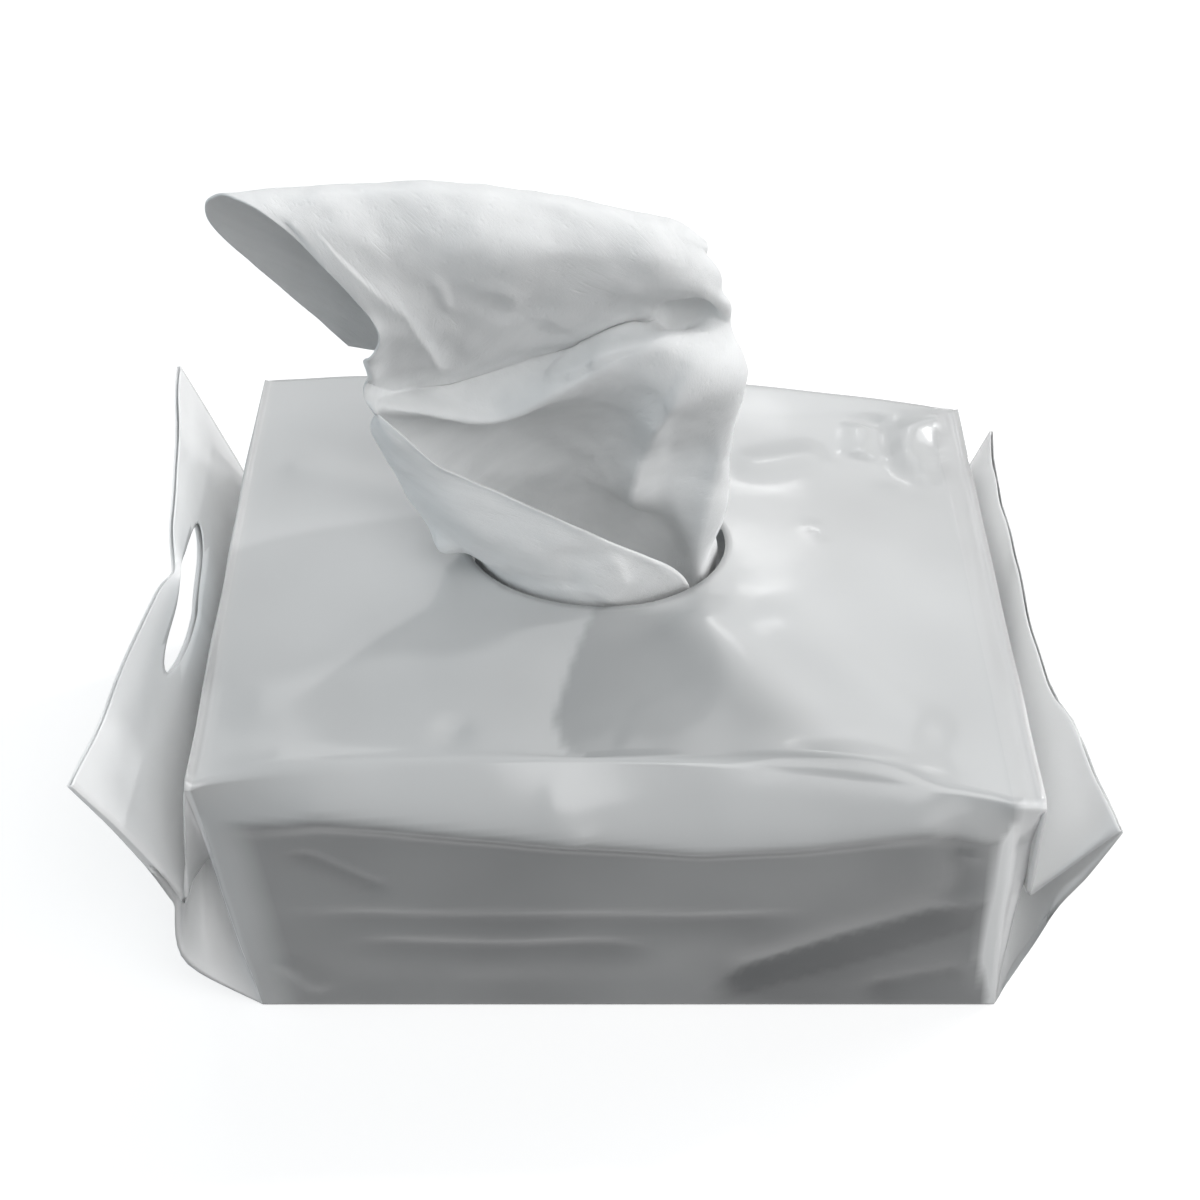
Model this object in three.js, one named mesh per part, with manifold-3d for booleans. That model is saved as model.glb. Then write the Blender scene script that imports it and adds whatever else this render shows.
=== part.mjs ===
// A soft film pack of wet wipes with gusseted ends, a standing fin at each end, and one wipe drawn
// up through the oval in its top. Millimetres, +Z up, origin on the base below the middle of the pack.
import * as THREE from 'three';
import { LoftGeometry } from 'three/addons/geometries/LoftGeometry.js';
import { RoundedBoxGeometry } from 'three/addons/geometries/RoundedBoxGeometry.js';
import { mergeVertices } from 'three/addons/utils/BufferGeometryUtils.js';
import Module from 'manifold-3d';

// Pouch body
const BODY_LENGTH = 160; // between the end creases of the top panel
const BODY_DEPTH = 115; // front panel to back panel
const LEFT_HEIGHT = 80;
const RIGHT_HEIGHT = 74;
const BACK_RIGHT_DROP = 3; // the right back corner hangs this much lower than the right front one
const TOP_CROWN = 4; // the top panel's middle stands this much above its ends
const TOP_SHIFT = 2; // the top panel's middle lies this far right of the origin
const BASE_SHIFT = 5; // and the base's middle this far
const FRONT_EDGE_BOW = 3; // the top panel's long edges run in by this much at their middle
const PANEL_BULGE = 2; // the front and back panels swell and crease by this much
const LOW_SWELL = 0.8; // share of the panel's height, from its top; and so the next two
const HIGH_SWELL = 0.35;
const PANEL_CREASE = 0.6;
const SWELL_SPREAD = 0.16;
const CREASE_SPREAD = 0.1;
const TOP_DENT = 2.5; // depth of the soft dent in front of the oval
const DENT_RIGHT = 11; // its middle, from the oval's middle
const DENT_FRONT = 38;
const DENT_HALF_LENGTH = 27;
const DENT_HALF_WIDTH = 12.5;
const FILM = 0.5; // film wall
const SEAL_SLIT = 0.4; // what stays open between the sealed layers at a gusset's mouth
const GUSSET_BACKING = 3.5; // film and folds behind the innermost line of a gusset
const HOLLOW_FLAP = 0.5; // share of each end flap, from its crease, that the cavity reaches

// Left end: the top film turns down at the crease, runs to the valley, and turns up into the fin
const LEFT_TUCK = 1.5; // the front panel ends this far short of the crease
const LEFT_VALLEY_OUT = 6.5; // valley beyond the crease
const LEFT_VALLEY_HEIGHT = 41.5;
const LEFT_FIN_OUT = 19; // fin's edge beyond the crease
const LEFT_FIN_HEIGHT = 81;
const LEFT_FIN_MOUTH = 2.2; // between the fin's two films at the valley
const LEFT_GUSSET_RUN = 0.3; // share of the fin that the gusset's mouth runs up
const LEFT_FOOT = 0.4; // share of the bottom film's rise where it starts to close on the valley
const LEFT_FOLD_START = 0.4; // share of the panel's height, from its top, where the gusset starts
const LEFT_BELLY_OUT = 13.5; // the bottom film bulges this far beyond the base
const LEFT_BELLY_HEIGHT = 18;
const LEFT_FIN_BOW = 8; // the fin's edge leans back towards the body by this much at its middle

// Right end, in the same way
const RIGHT_TUCK = 6;
const RIGHT_VALLEY_OUT = 2.5;
const RIGHT_VALLEY_HEIGHT = 44;
const RIGHT_FIN_OUT = 15.5;
const RIGHT_FIN_HEIGHT = 68;
const RIGHT_FIN_MOUTH = 8;
const RIGHT_GUSSET_RUN = 1;
const RIGHT_FOOT = 0.22;
const RIGHT_FOLD_START = 0.2;
const RIGHT_BELLY_OUT = 4;
const RIGHT_BELLY_HEIGHT = 22;
const RIGHT_FIN_BOW = 9;
const RIGHT_FIN_BACK_INSET = 7; // the fin's back corner lies this far in from the back panel

// Oval in the top panel and hand hole in the left fin
const OVAL_LENGTH = 54;
const OVAL_DEPTH = 38;
const OVAL_X = -2;
const OVAL_Y = 6.5;
const HAND_HOLE_LENGTH = 42;
const HAND_HOLE_WIDTH = 9;
const HAND_HOLE_BELOW_EDGE = 12.5; // the hand hole's middle, below the fin's edge

// Wipes
const STACK_END_CLEARANCE = 2;
const STACK_SIDE_CLEARANCE = 4;
const STACK_HEADROOM = 2; // below the lowest corner of the top panel
const STACK_ROUND = 5;
const STACK_ROUND_STEPS = 3;
const SEAT_GAP = 0.3;
const WIPE_THICKNESS = 0.9;
const WIPE_RISE = 88; // how far the drawn wipe stands above the film
const RIM_GAP = 1.2; // between the wipe and the oval's rim

// Mesh steps
const BODY_STEPS = 14;
const FLAP_STEPS = 4;
const VALLEY_LAG = 0.6; // steps that the top film still has to go when the bottom film is at the foot
const CLOSING_STEPS = 3;
const VALLEY_TURN = 0.03; // share of the fin that the top film climbs in one closing step
const FIN_STEPS = 4;
const TOP_STEPS = 12;
const BASE_STEPS = 4;
const PANEL_SHARES = [0.12, 0.25, 0.38, 0.5, 0.62, 0.75, 0.88];
const FOLD_SHARE = 0.5; // the one of those that follows a gusset's inner line
const OVAL_STEPS = 40;
const WIPE_ACROSS = 32;
const WIPE_STEPS_PER_ROW = 3;
const MERGE_WITHIN = 1e-4;

const HALF_DEPTH = BODY_DEPTH / 2;
const wasm = await Module();
wasm.setup();

// Number helpers
const lerp = THREE.MathUtils.lerp;
const clamp = THREE.MathUtils.clamp;
const bell = (value, middle, width) => Math.exp(-(((value - middle) / width) ** 2));

// Booleans on closed geometries
function solidOf(geometry) {
  const bare = new THREE.BufferGeometry();
  bare.setAttribute('position', geometry.getAttribute('position'));
  bare.setIndex(geometry.getIndex());
  const merged = mergeVertices(bare, MERGE_WITHIN);
  const vertProperties = new Float32Array(merged.attributes.position.array);
  const triVerts = new Uint32Array(merged.index.array);
  return new wasm.Manifold(new wasm.Mesh({ numProp: 3, vertProperties, triVerts }));
}

function geometryOf(solid) {
  const mesh = solid.getMesh();
  const geometry = new THREE.BufferGeometry();
  geometry.setAttribute('position', new THREE.BufferAttribute(mesh.vertProperties, 3));
  geometry.setIndex(new THREE.BufferAttribute(mesh.triVerts, 1));
  geometry.computeVertexNormals();
  return geometry;
}

// Top panel: four corner heights, a crown along its length and a soft dent in front of the oval
const topLeft = TOP_SHIFT - BODY_LENGTH / 2;
const topRight = TOP_SHIFT + BODY_LENGTH / 2;
const baseLeft = BASE_SHIFT - BODY_LENGTH / 2;
const baseRight = BASE_SHIFT + BODY_LENGTH / 2;

function topHeight(x, y) {
  const along = clamp((x - topLeft) / BODY_LENGTH, 0, 1);
  const back = (y + HALF_DEPTH) / BODY_DEPTH;
  const flat = lerp(LEFT_HEIGHT, RIGHT_HEIGHT - BACK_RIGHT_DROP * back, along);
  const crown = TOP_CROWN * Math.sin(Math.PI * along);
  const dentAlong = bell(x, OVAL_X + DENT_RIGHT, DENT_HALF_LENGTH);
  const dentAcross = bell(y, OVAL_Y - DENT_FRONT, DENT_HALF_WIDTH);
  return flat + crown - TOP_DENT * dentAlong * dentAcross;
}

// Stations along the pack. Each holds the top film's and the bottom film's point in the XZ plane, the
// gusset's depth and the share of the panel's height where it is deepest, and how far it is along the
// end flap and up the fin (0 on the body).
const leftEnd = {
  out: -1,
  crease: new THREE.Vector2(topLeft, LEFT_HEIGHT),
  base: new THREE.Vector2(baseLeft, 0),
  tuck: LEFT_TUCK,
  valley: new THREE.Vector2(topLeft - LEFT_VALLEY_OUT, LEFT_VALLEY_HEIGHT),
  tip: new THREE.Vector2(topLeft - LEFT_FIN_OUT, LEFT_FIN_HEIGHT),
  belly: new THREE.Vector2(baseLeft - LEFT_BELLY_OUT, LEFT_BELLY_HEIGHT),
  mouth: LEFT_FIN_MOUTH,
  gussetRun: LEFT_GUSSET_RUN,
  foot: LEFT_FOOT,
  foldStart: LEFT_FOLD_START,
  backInset: 0,
  bow: (y) => LEFT_FIN_BOW * (1 - Math.abs(y) / HALF_DEPTH),
};
const rightEnd = {
  out: 1,
  crease: new THREE.Vector2(topRight, RIGHT_HEIGHT),
  base: new THREE.Vector2(baseRight, 0),
  tuck: RIGHT_TUCK,
  valley: new THREE.Vector2(topRight + RIGHT_VALLEY_OUT, RIGHT_VALLEY_HEIGHT),
  tip: new THREE.Vector2(topRight + RIGHT_FIN_OUT, RIGHT_FIN_HEIGHT),
  belly: new THREE.Vector2(baseRight + RIGHT_BELLY_OUT, RIGHT_BELLY_HEIGHT),
  mouth: RIGHT_FIN_MOUTH,
  gussetRun: RIGHT_GUSSET_RUN,
  foot: RIGHT_FOOT,
  foldStart: RIGHT_FOLD_START,
  backInset: RIGHT_FIN_BACK_INSET,
  bow: (y) => RIGHT_FIN_BOW * Math.sin((Math.PI / 2) * clamp((y + HALF_DEPTH) / HALF_DEPTH, 0, 1)),
};

function endStations(end) {
  const start = new THREE.Vector2(end.crease.x - end.out * end.tuck, end.crease.y);
  const panelHeight = start.distanceTo(end.base);
  const finLine = new THREE.Vector2().subVectors(end.tip, end.valley).normalize();
  const finFace = new THREE.Vector2(finLine.y, -finLine.x).multiplyScalar(end.out);
  const closed = 2 * FILM + SEAL_SLIT;
  const innerFin = (share) => end.valley.clone().lerp(end.tip, share);
  const outerFin = (share) => innerFin(share).addScaledVector(finFace, lerp(end.mouth, closed, share));
  const bottomCurve = new THREE.SplineCurve([end.base, end.belly, outerFin(0)]);
  const stations = [];
  const addStation = (top, bottom, flap, fin, gussetShare) => {
    const spare = (panelHeight / 2) ** 2 - (top.distanceTo(bottom) / 2) ** 2;
    const gusset = gussetShare * Math.sqrt(Math.max(0, spare));
    const fold = lerp(end.foldStart, FOLD_SHARE, flap);
    stations.push({ end, top, bottom, gusset, fold, flap, fin });
  };
  // The top film comes down to the valley while the bottom film rises as far as the gusset's foot
  const creaseShare = end.tuck / (end.tuck + end.crease.distanceTo(end.valley));
  for (let step = 0; step <= FLAP_STEPS; step += 1) {
    const flap = step / (FLAP_STEPS + VALLEY_LAG);
    const top = end.crease.clone().lerp(end.valley, flap);
    const bottom = bottomCurve.getPoint(end.foot * lerp(creaseShare, 1, step / FLAP_STEPS));
    addStation(top, bottom, flap, 0, 1);
  }
  // The bottom film closes up to the fin while the top film turns the valley
  for (let step = 1; step <= CLOSING_STEPS; step += 1) {
    const fin = VALLEY_TURN * (step - 1);
    const bottom = bottomCurve.getPoint(lerp(end.foot, 1, step / CLOSING_STEPS));
    addStation(innerFin(fin), bottom, 1, fin, 1);
  }
  // The fin, where the gusset's mouth dies out
  const turned = VALLEY_TURN * CLOSING_STEPS;
  for (let step = 0; step <= FIN_STEPS; step += 1) {
    const fin = lerp(turned, 1, step / FIN_STEPS);
    const open = clamp(1 - (fin - turned) / (end.gussetRun - turned), 0, 1);
    addStation(innerFin(fin), outerFin(fin), 1, fin, open);
  }
  return stations;
}

function bodyStations() {
  const stations = [];
  const left = topLeft + LEFT_TUCK;
  const right = topRight - RIGHT_TUCK;
  for (let step = 0; step <= BODY_STEPS; step += 1) {
    const share = step / BODY_STEPS;
    const top = new THREE.Vector2(lerp(left, right, share), 0);
    const bottom = new THREE.Vector2(lerp(baseLeft, baseRight, share), 0);
    const fold = lerp(LEFT_FOLD_START, RIGHT_FOLD_START, share);
    stations.push({ end: null, top, bottom, gusset: 0, fold, flap: 0, fin: 0, share });
  }
  return stations;
}

const leftStations = endStations(leftEnd);
const rightStations = endStations(rightEnd);
const stations = [...leftStations.toReversed(), ...bodyStations(), ...rightStations];

// A point of the pouch wall: y across the pack, and down from 0 on the top film to 1 on the bottom film
function wallPoint(station, y, down) {
  const { end, top, bottom, fin, flap } = station;
  if (end === null) {
    const z = lerp(topHeight(top.x, y), 0, down);
    return new THREE.Vector3(lerp(top.x, bottom.x, down), y, z);
  }
  const creaseLift = topHeight(end.crease.x, y) - end.crease.y;
  const lift = creaseLift * (1 - flap) * (1 - down);
  const bow = end.out * end.bow(y) * fin;
  return new THREE.Vector3(lerp(top.x, bottom.x, down) - bow, y, lerp(top.y, bottom.y, down) + lift);
}

// How far a long panel stands out of its plane: swollen low down, creased at mid height, run in at the top
function panelSwell(station, down) {
  if (station.end !== null) {
    return 0;
  }
  const fade = Math.sin(Math.PI * station.share);
  const swells = bell(down, LOW_SWELL, SWELL_SPREAD) + bell(down, HIGH_SWELL, SWELL_SPREAD);
  const relief = PANEL_BULGE * (swells - bell(down, PANEL_CREASE, CREASE_SPREAD));
  return fade * (relief - FRONT_EDGE_BOW * (1 - down) ** 2);
}

// Shares of the way down a panel, with one of them on the gusset's inner line
function panelShares(station) {
  return PANEL_SHARES.map((share) => (share < FOLD_SHARE
    ? (station.fold * share) / FOLD_SHARE
    : lerp(station.fold, 1, (share - FOLD_SHARE) / (1 - FOLD_SHARE))));
}

// One closed ring of the outer wall, down the front, across the base, up the back, across the top
function outerRing(station) {
  const drop = station.end === null
    ? topHeight(station.top.x, 0)
    : station.top.distanceTo(station.bottom);
  const edge = FILM / drop;
  const between = panelShares(station).map((share) => lerp(edge, 1 - edge, share));
  const shares = [0, edge, ...between, 1 - edge, 1];
  const deepest = lerp(edge, 1 - edge, station.fold);
  const tuckedIn = (down) => {
    const above = (down - edge) / (deepest - edge);
    const below = (1 - edge - down) / (1 - edge - deepest);
    return station.gusset * clamp(Math.min(above, below), 0, 1);
  };
  const frontY = -HALF_DEPTH;
  const backY = HALF_DEPTH - (station.end === null ? 0 : station.end.backInset * station.fin);
  const ring = [];
  for (const down of shares) {
    const y = frontY + tuckedIn(down) - panelSwell(station, down);
    ring.push(wallPoint(station, y, down));
  }
  for (let step = 1; step < BASE_STEPS; step += 1) {
    ring.push(wallPoint(station, lerp(frontY, backY, step / BASE_STEPS), 1));
  }
  for (const down of shares.toReversed()) {
    const y = backY - tuckedIn(down) + panelSwell(station, down);
    ring.push(wallPoint(station, y, down));
  }
  const topFront = frontY - panelSwell(station, 0);
  const topBack = backY + panelSwell(station, 0);
  for (let step = 1; step < TOP_STEPS; step += 1) {
    ring.push(wallPoint(station, lerp(topBack, topFront, step / TOP_STEPS), 0));
  }
  return ring;
}

// One ring of the cavity, a film's thickness inside the panels and clear of the gussets
function innerRing(station) {
  const inward = station.end === null ? 0 : -station.end.out * FILM;
  const backing = station.end === null ? FILM : GUSSET_BACKING;
  const half = HALF_DEPTH - station.gusset - backing;
  const inside = (y, down, lift) => {
    const point = wallPoint(station, y, down);
    return new THREE.Vector3(point.x + inward, y, point.z + lift);
  };
  const ring = [];
  const rise = (down) => lerp(-FILM, FILM, down);
  const shares = [0, ...panelShares(station), 1];
  for (const down of shares) {
    ring.push(inside(-half - panelSwell(station, down), down, rise(down)));
  }
  for (const down of shares.toReversed()) {
    ring.push(inside(half + panelSwell(station, down), down, rise(down)));
  }
  const topHalf = half + panelSwell(station, 0);
  for (let step = 1; step < TOP_STEPS; step += 1) {
    ring.push(inside(lerp(topHalf, -topHalf, step / TOP_STEPS), 0, -FILM));
  }
  return ring;
}

// A tube through rings of equal count, closed at both ends by fans about the end rings' middles
function fanClosedTube(rings) {
  const count = rings[0].length;
  const points = rings.flat();
  const index = [];
  for (let ring = 0; ring < rings.length - 1; ring += 1) {
    for (let step = 0; step < count; step += 1) {
      const a = ring * count + step;
      const b = ring * count + ((step + 1) % count);
      index.push(a, b, a + count, b, b + count, a + count);
    }
  }
  const fan = (ring, start, reversed) => {
    const middle = ring.reduce((sum, point) => sum.add(point), new THREE.Vector3()).divideScalar(count);
    const hub = points.push(middle) - 1;
    for (let step = 0; step < count; step += 1) {
      const a = start + step;
      const b = start + ((step + 1) % count);
      index.push(...(reversed ? [hub, b, a] : [hub, a, b]));
    }
  };
  fan(rings[0], 0, true);
  fan(rings.at(-1), (rings.length - 1) * count, false);
  return new THREE.BufferGeometry().setFromPoints(points).setIndex(index);
}

// An oval prism through the top panel
function ovalCut() {
  const shape = new THREE.Shape();
  shape.absellipse(OVAL_X, OVAL_Y, OVAL_LENGTH / 2, OVAL_DEPTH / 2, 0, 2 * Math.PI);
  const lowest = stackTop();
  const depth = topHeight(OVAL_X, OVAL_Y) + BODY_DEPTH - lowest;
  const prism = new THREE.ExtrudeGeometry(shape, { depth, bevelEnabled: false, curveSegments: OVAL_STEPS });
  return prism.translate(0, 0, lowest);
}

// A round-ended slot through the left fin, along X
function handHoleCut() {
  const radius = HAND_HOLE_WIDTH / 2;
  const reach = HAND_HOLE_LENGTH / 2 - radius;
  const shape = new THREE.Shape();
  shape.absarc(reach, 0, radius, -Math.PI / 2, Math.PI / 2);
  shape.absarc(-reach, 0, radius, Math.PI / 2, (3 * Math.PI) / 2);
  const nearest = topLeft - LEFT_VALLEY_OUT / 2;
  const depth = LEFT_FIN_OUT + LEFT_FIN_BOW;
  const curveSegments = OVAL_STEPS / 4;
  const slot = new THREE.ExtrudeGeometry(shape, { depth, bevelEnabled: false, curveSegments });
  slot.rotateX(Math.PI / 2);
  slot.rotateZ(-Math.PI / 2);
  return slot.translate(nearest, 0, LEFT_FIN_HEIGHT - HAND_HOLE_BELOW_EDGE);
}

function filmPouch() {
  const outer = solidOf(new LoftGeometry(stations.map(outerRing), { capStart: true, capEnd: true }));
  const hollow = stations.filter((station) => station.flap <= HOLLOW_FLAP);
  const cavity = solidOf(fanClosedTube(hollow.map(innerRing)));
  const pouch = outer.subtract(cavity).subtract(solidOf(ovalCut())).subtract(solidOf(handHoleCut()));
  return geometryOf(pouch);
}

// The stack of wipes lies on the bottom film and stays below the lowest corner of the top panel
function stackTop() {
  return RIGHT_HEIGHT - BACK_RIGHT_DROP - FILM - STACK_HEADROOM;
}

function wipeStack() {
  const left = Math.max(topLeft + LEFT_TUCK, baseLeft) + STACK_END_CLEARANCE;
  const right = Math.min(topRight - RIGHT_TUCK, baseRight) - STACK_END_CLEARANCE;
  const floor = FILM + SEAT_GAP;
  const height = stackTop() - floor;
  const depth = BODY_DEPTH - 2 * (FRONT_EDGE_BOW + STACK_SIDE_CLEARANCE);
  const block = new RoundedBoxGeometry(right - left, depth, height, STACK_ROUND_STEPS, STACK_ROUND);
  return block.translate((left + right) / 2, 0, floor + height / 2);
}

// The drawn wipe is a net of fold lines from its left edge to its right edge. On each line the points are
// the left edge, two on the near wall, the left fold, three on the far wall, the right fold and the right
// edge. The lowest two lines stand in the oval. The others are given from its middle, at the film's height,
// in hundredths of the wipe's rise.
function wipeFoldLines() {
  const halfLength = OVAL_LENGTH / 2 - RIM_GAP - WIPE_THICKNESS / 2;
  const halfDepth = OVAL_DEPTH / 2 - RIM_GAP - WIPE_THICKNESS / 2;
  const filmHeight = topHeight(OVAL_X, OVAL_Y);
  const unit = WIPE_RISE / 100;
  const rimPoints = [
    [0.72, -0.68], [0, -1], [-0.72, -0.68], [-1, 0], [-0.66, 0.5],
    [0, 0.66], [0.6, 0.52], [0.98, 0], [0.75, 0.6],
  ];
  const inOval = (z) => rimPoints.map(
    ([x, y]) => new THREE.Vector3(OVAL_X + x * halfLength, OVAL_Y + y * halfDepth, z),
  );
  const above = (points) => points.map(
    ([x, y, z]) => new THREE.Vector3(OVAL_X + unit * x, OVAL_Y + unit * y, filmHeight + unit * z),
  );
  const lowFlap = [
    [1, -18, 19.5], [-10, -20, 18], [-24, -18, 16.5], [-39, -7, 12.5], [-27.5, 4.5, 13.5],
    [-2.5, 10, 13.5], [17, 7, 10], [26.5, -1, 7], [20.5, 11.5, 9],
  ];
  const highFlap = [
    [-32, -13.5, 36.5], [-37.5, -13, 36], [-42.5, -11, 35], [-46.5, -6, 34], [-34, 3.5, 30.5],
    [-7, 8, 29.5], [16, 4.5, 27.5], [28, 0, 26], [20.5, 11.5, 26],
  ];
  const flapCorner = [
    [-42, -12, 45.5], [-44.5, -11.5, 44.5], [-46.5, -9.5, 44], [-48.5, -7, 42.5], [-35, 0.5, 38],
    [-7, 4, 38.5], [16, 1.5, 42], [29, 0.5, 37.5], [21.5, 12, 37.5],
  ];
  const ridge = [
    [-49, -7, 49.5], [-47.5, -7.5, 49], [-46.5, -7.5, 48.5], [-45, -7, 47.5], [-22.5, -5, 42],
    [-7.5, -5.5, 51], [11.5, -4.5, 61.5], [29.5, 1, 49], [22.5, 12.5, 49],
  ];
  const crease = [
    [-49.5, -5.5, 54.5], [-47, -3, 50], [-44, 0, 46], [-40.5, 2.5, 44.5], [-33, 4, 45],
    [-8, 6, 52.5], [20, 7.5, 61.5], [28.5, 7, 60], [26, 12.5, 59],
  ];
  const stripTop = [
    [-48.5, -5, 61.5], [-44, -4, 59], [-38.5, -2.5, 57.5], [-34, -0.5, 56], [-27.5, 0, 56],
    [-7.5, 1.5, 60], [18, 3.5, 68], [28, 6, 65], [25, 12, 62.5],
  ];
  const lobeLow = [
    [-44.5, -9.5, 71], [-41, -8, 70.5], [-37.5, -6, 70], [-34, -4.5, 69], [-27.5, -2.5, 68],
    [-7.5, -1, 69.5], [17, 0, 75], [26, 7, 68], [24, 11.5, 66],
  ];
  const lobeHigh = [
    [-57, -9, 96], [-51, -8.5, 94], [-45.5, -8, 91.5], [-40, -7, 89], [-30.5, -5.5, 87.5],
    [-7, -3.5, 85], [17, 1.5, 79.5], [25, 8, 71.5], [22.5, 11.5, 69.5],
  ];
  const topFront = [
    [-66, -4.5, 99.5], [-59, -3.5, 99], [-52.5, -2.5, 98.5], [-45.5, -1, 97.5], [-34, 0.5, 96],
    [-7, 3.5, 91], [11.5, 5.5, 85], [19.5, 7.5, 80], [22.5, 9.5, 76.5],
  ];
  const topEnd = [
    [-74, 0.5, 94.5], [-65.5, 1, 96], [-57, 2.5, 96.5], [-49, 3.5, 96.5], [-35, 5, 96],
    [-7, 7.5, 91], [11.5, 9, 84.5], [19, 10, 80], [22.5, 12, 76],
  ];
  const topBack = [
    [-77.5, 4, 87.5], [-68, 5, 90], [-59, 6, 92], [-50, 7.5, 93], [-36.5, 9, 93],
    [-7, 11.5, 88], [11.5, 12.5, 82], [18, 13, 78], [22.5, 13.5, 74.5],
  ];
  const backMiddle = [
    [-67, 8.5, 68], [-59, 10, 70], [-51, 12.5, 71.5], [-44.5, 14, 72.5], [-33, 16.5, 72],
    [-7, 19.5, 69.5], [11.5, 19, 66], [18, 18, 63.5], [23.5, 17, 61],
  ];
  const backEdge = [
    [-55, 13.5, 47.5], [-49.5, 16, 44.5], [-44, 17.5, 41.5], [-38, 19.5, 38.5], [-28.5, 21, 35],
    [-4.5, 24, 32], [11.5, 22.5, 32], [19, 21.5, 32.5], [24.5, 19, 35],
  ];
  const walls = [lowFlap, highFlap, flapCorner, ridge, crease, stripTop];
  const lobe = [lobeLow, lobeHigh, topFront, topEnd, topBack, backMiddle, backEdge];
  return [inOval(stackTop() + SEAT_GAP), inOval(filmHeight), ...[...walls, ...lobe].map(above)];
}

// The wipe's middle surface as columns of points: curves up through the fold lines' points, and across them
function wipeSurface() {
  const foldLines = wipeFoldLines();
  const steps = (foldLines.length - 1) * WIPE_STEPS_PER_ROW;
  const upward = foldLines[0].map((_, place) => {
    const curve = new THREE.CatmullRomCurve3(foldLines.map((line) => line[place]));
    return curve.getPoints(steps);
  });
  const rows = upward[0].map((_, step) => {
    const curve = new THREE.CatmullRomCurve3(upward.map((points) => points[step]));
    return curve.getPoints(WIPE_ACROSS);
  });
  return rows[0].map((_, across) => rows.map((row) => row[across]));
}

// A closed sheet of even thickness about a grid of points
function sheetGeometry(grid, thickness) {
  const columns = grid.length;
  const rows = grid[0].length;
  const normalAt = (i, j) => {
    const across = new THREE.Vector3().subVectors(
      grid[Math.min(i + 1, columns - 1)][j],
      grid[Math.max(i - 1, 0)][j],
    );
    const along = new THREE.Vector3().subVectors(
      grid[i][Math.min(j + 1, rows - 1)],
      grid[i][Math.max(j - 1, 0)],
    );
    return across.cross(along).normalize();
  };
  const positions = [];
  for (const side of [thickness / 2, -thickness / 2]) {
    grid.forEach((column, i) => column.forEach((point, j) => {
      positions.push(...point.clone().addScaledVector(normalAt(i, j), side));
    }));
  }
  const front = (i, j) => i * rows + j;
  const back = (i, j) => columns * rows + front(i, j);
  const index = [];
  const quad = (a, b, c, d) => index.push(a, b, c, a, c, d);
  for (let i = 0; i < columns - 1; i += 1) {
    for (let j = 0; j < rows - 1; j += 1) {
      quad(front(i, j), front(i + 1, j), front(i + 1, j + 1), front(i, j + 1));
      quad(back(i, j), back(i, j + 1), back(i + 1, j + 1), back(i + 1, j));
    }
    quad(front(i, 0), back(i, 0), back(i + 1, 0), front(i + 1, 0));
    quad(front(i, rows - 1), front(i + 1, rows - 1), back(i + 1, rows - 1), back(i, rows - 1));
  }
  for (let j = 0; j < rows - 1; j += 1) {
    quad(front(0, j), front(0, j + 1), back(0, j + 1), back(0, j));
    quad(front(columns - 1, j), back(columns - 1, j), back(columns - 1, j + 1), front(columns - 1, j + 1));
  }
  const geometry = new THREE.BufferGeometry();
  geometry.setAttribute('position', new THREE.Float32BufferAttribute(positions, 3));
  geometry.setIndex(index);
  geometry.computeVertexNormals();
  return geometry;
}

function pulledWipe() {
  return sheetGeometry(wipeSurface(), WIPE_THICKNESS);
}

// The finished pack
const film = new THREE.MeshStandardMaterial({ color: 0xdfe4e6, roughness: 0.25, metalness: 0 });
const cloth = new THREE.MeshStandardMaterial({ color: 0xe9eaea, roughness: 0.85, metalness: 0 });
const pack = new THREE.Group();

function addPiece(name, geometry, material) {
  const mesh = new THREE.Mesh(geometry, material);
  mesh.name = name;
  pack.add(mesh);
}

addPiece('film_pouch', filmPouch(), film);
addPiece('wipe_stack', wipeStack(), cloth);
addPiece('pulled_wipe', pulledWipe(), cloth);

export default pack;
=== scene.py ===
"""Looks of a soft film pack of wet wipes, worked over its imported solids.

Sizes in the classes are millimetres in the part's own frame: +X along the pack, +Y to its back, +Z up.
"""

import logging
from dataclasses import dataclass
from enum import Enum, IntEnum

import bpy
import mathutils
import numpy as np
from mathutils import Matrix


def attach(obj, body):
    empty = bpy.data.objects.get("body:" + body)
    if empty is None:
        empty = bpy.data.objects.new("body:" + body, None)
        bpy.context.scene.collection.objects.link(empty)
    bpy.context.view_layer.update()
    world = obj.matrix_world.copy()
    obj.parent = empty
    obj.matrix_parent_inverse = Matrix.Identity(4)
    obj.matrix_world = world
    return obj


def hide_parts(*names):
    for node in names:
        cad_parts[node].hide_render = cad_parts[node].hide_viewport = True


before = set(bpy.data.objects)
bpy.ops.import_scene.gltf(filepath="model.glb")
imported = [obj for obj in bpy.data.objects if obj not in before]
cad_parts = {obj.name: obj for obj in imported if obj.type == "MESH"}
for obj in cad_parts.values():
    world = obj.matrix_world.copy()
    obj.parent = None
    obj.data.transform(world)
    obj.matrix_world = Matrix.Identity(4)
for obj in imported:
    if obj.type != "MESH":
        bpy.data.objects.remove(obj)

log = logging.getLogger("wipes_pack")
Array = np.ndarray
Pair = tuple[float, float]
Triple = tuple[float, float, float]
Colour = tuple[float, float, float, float]
Line = tuple[Pair, ...]
MILLIMETRE = 0.001
WHITE = (1.0, 1.0, 1.0, 1.0)
EVENLY = (1.0, 1.0, 1.0)
MOTTLE_SPAN = (0.3, 0.7)
TINY = 1e-6


def lerp(start: Array, end: Array, share: Array) -> Array:
    """The value that lies the given share of the way from start to end."""
    return start + (end - start) * share


def bell(value: Array, middle: Array, width: float) -> Array:
    """A smooth bump of height one about the middle: e to the minus squared distance in widths."""
    return np.exp(-(((value - middle) / width) ** 2))


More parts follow.
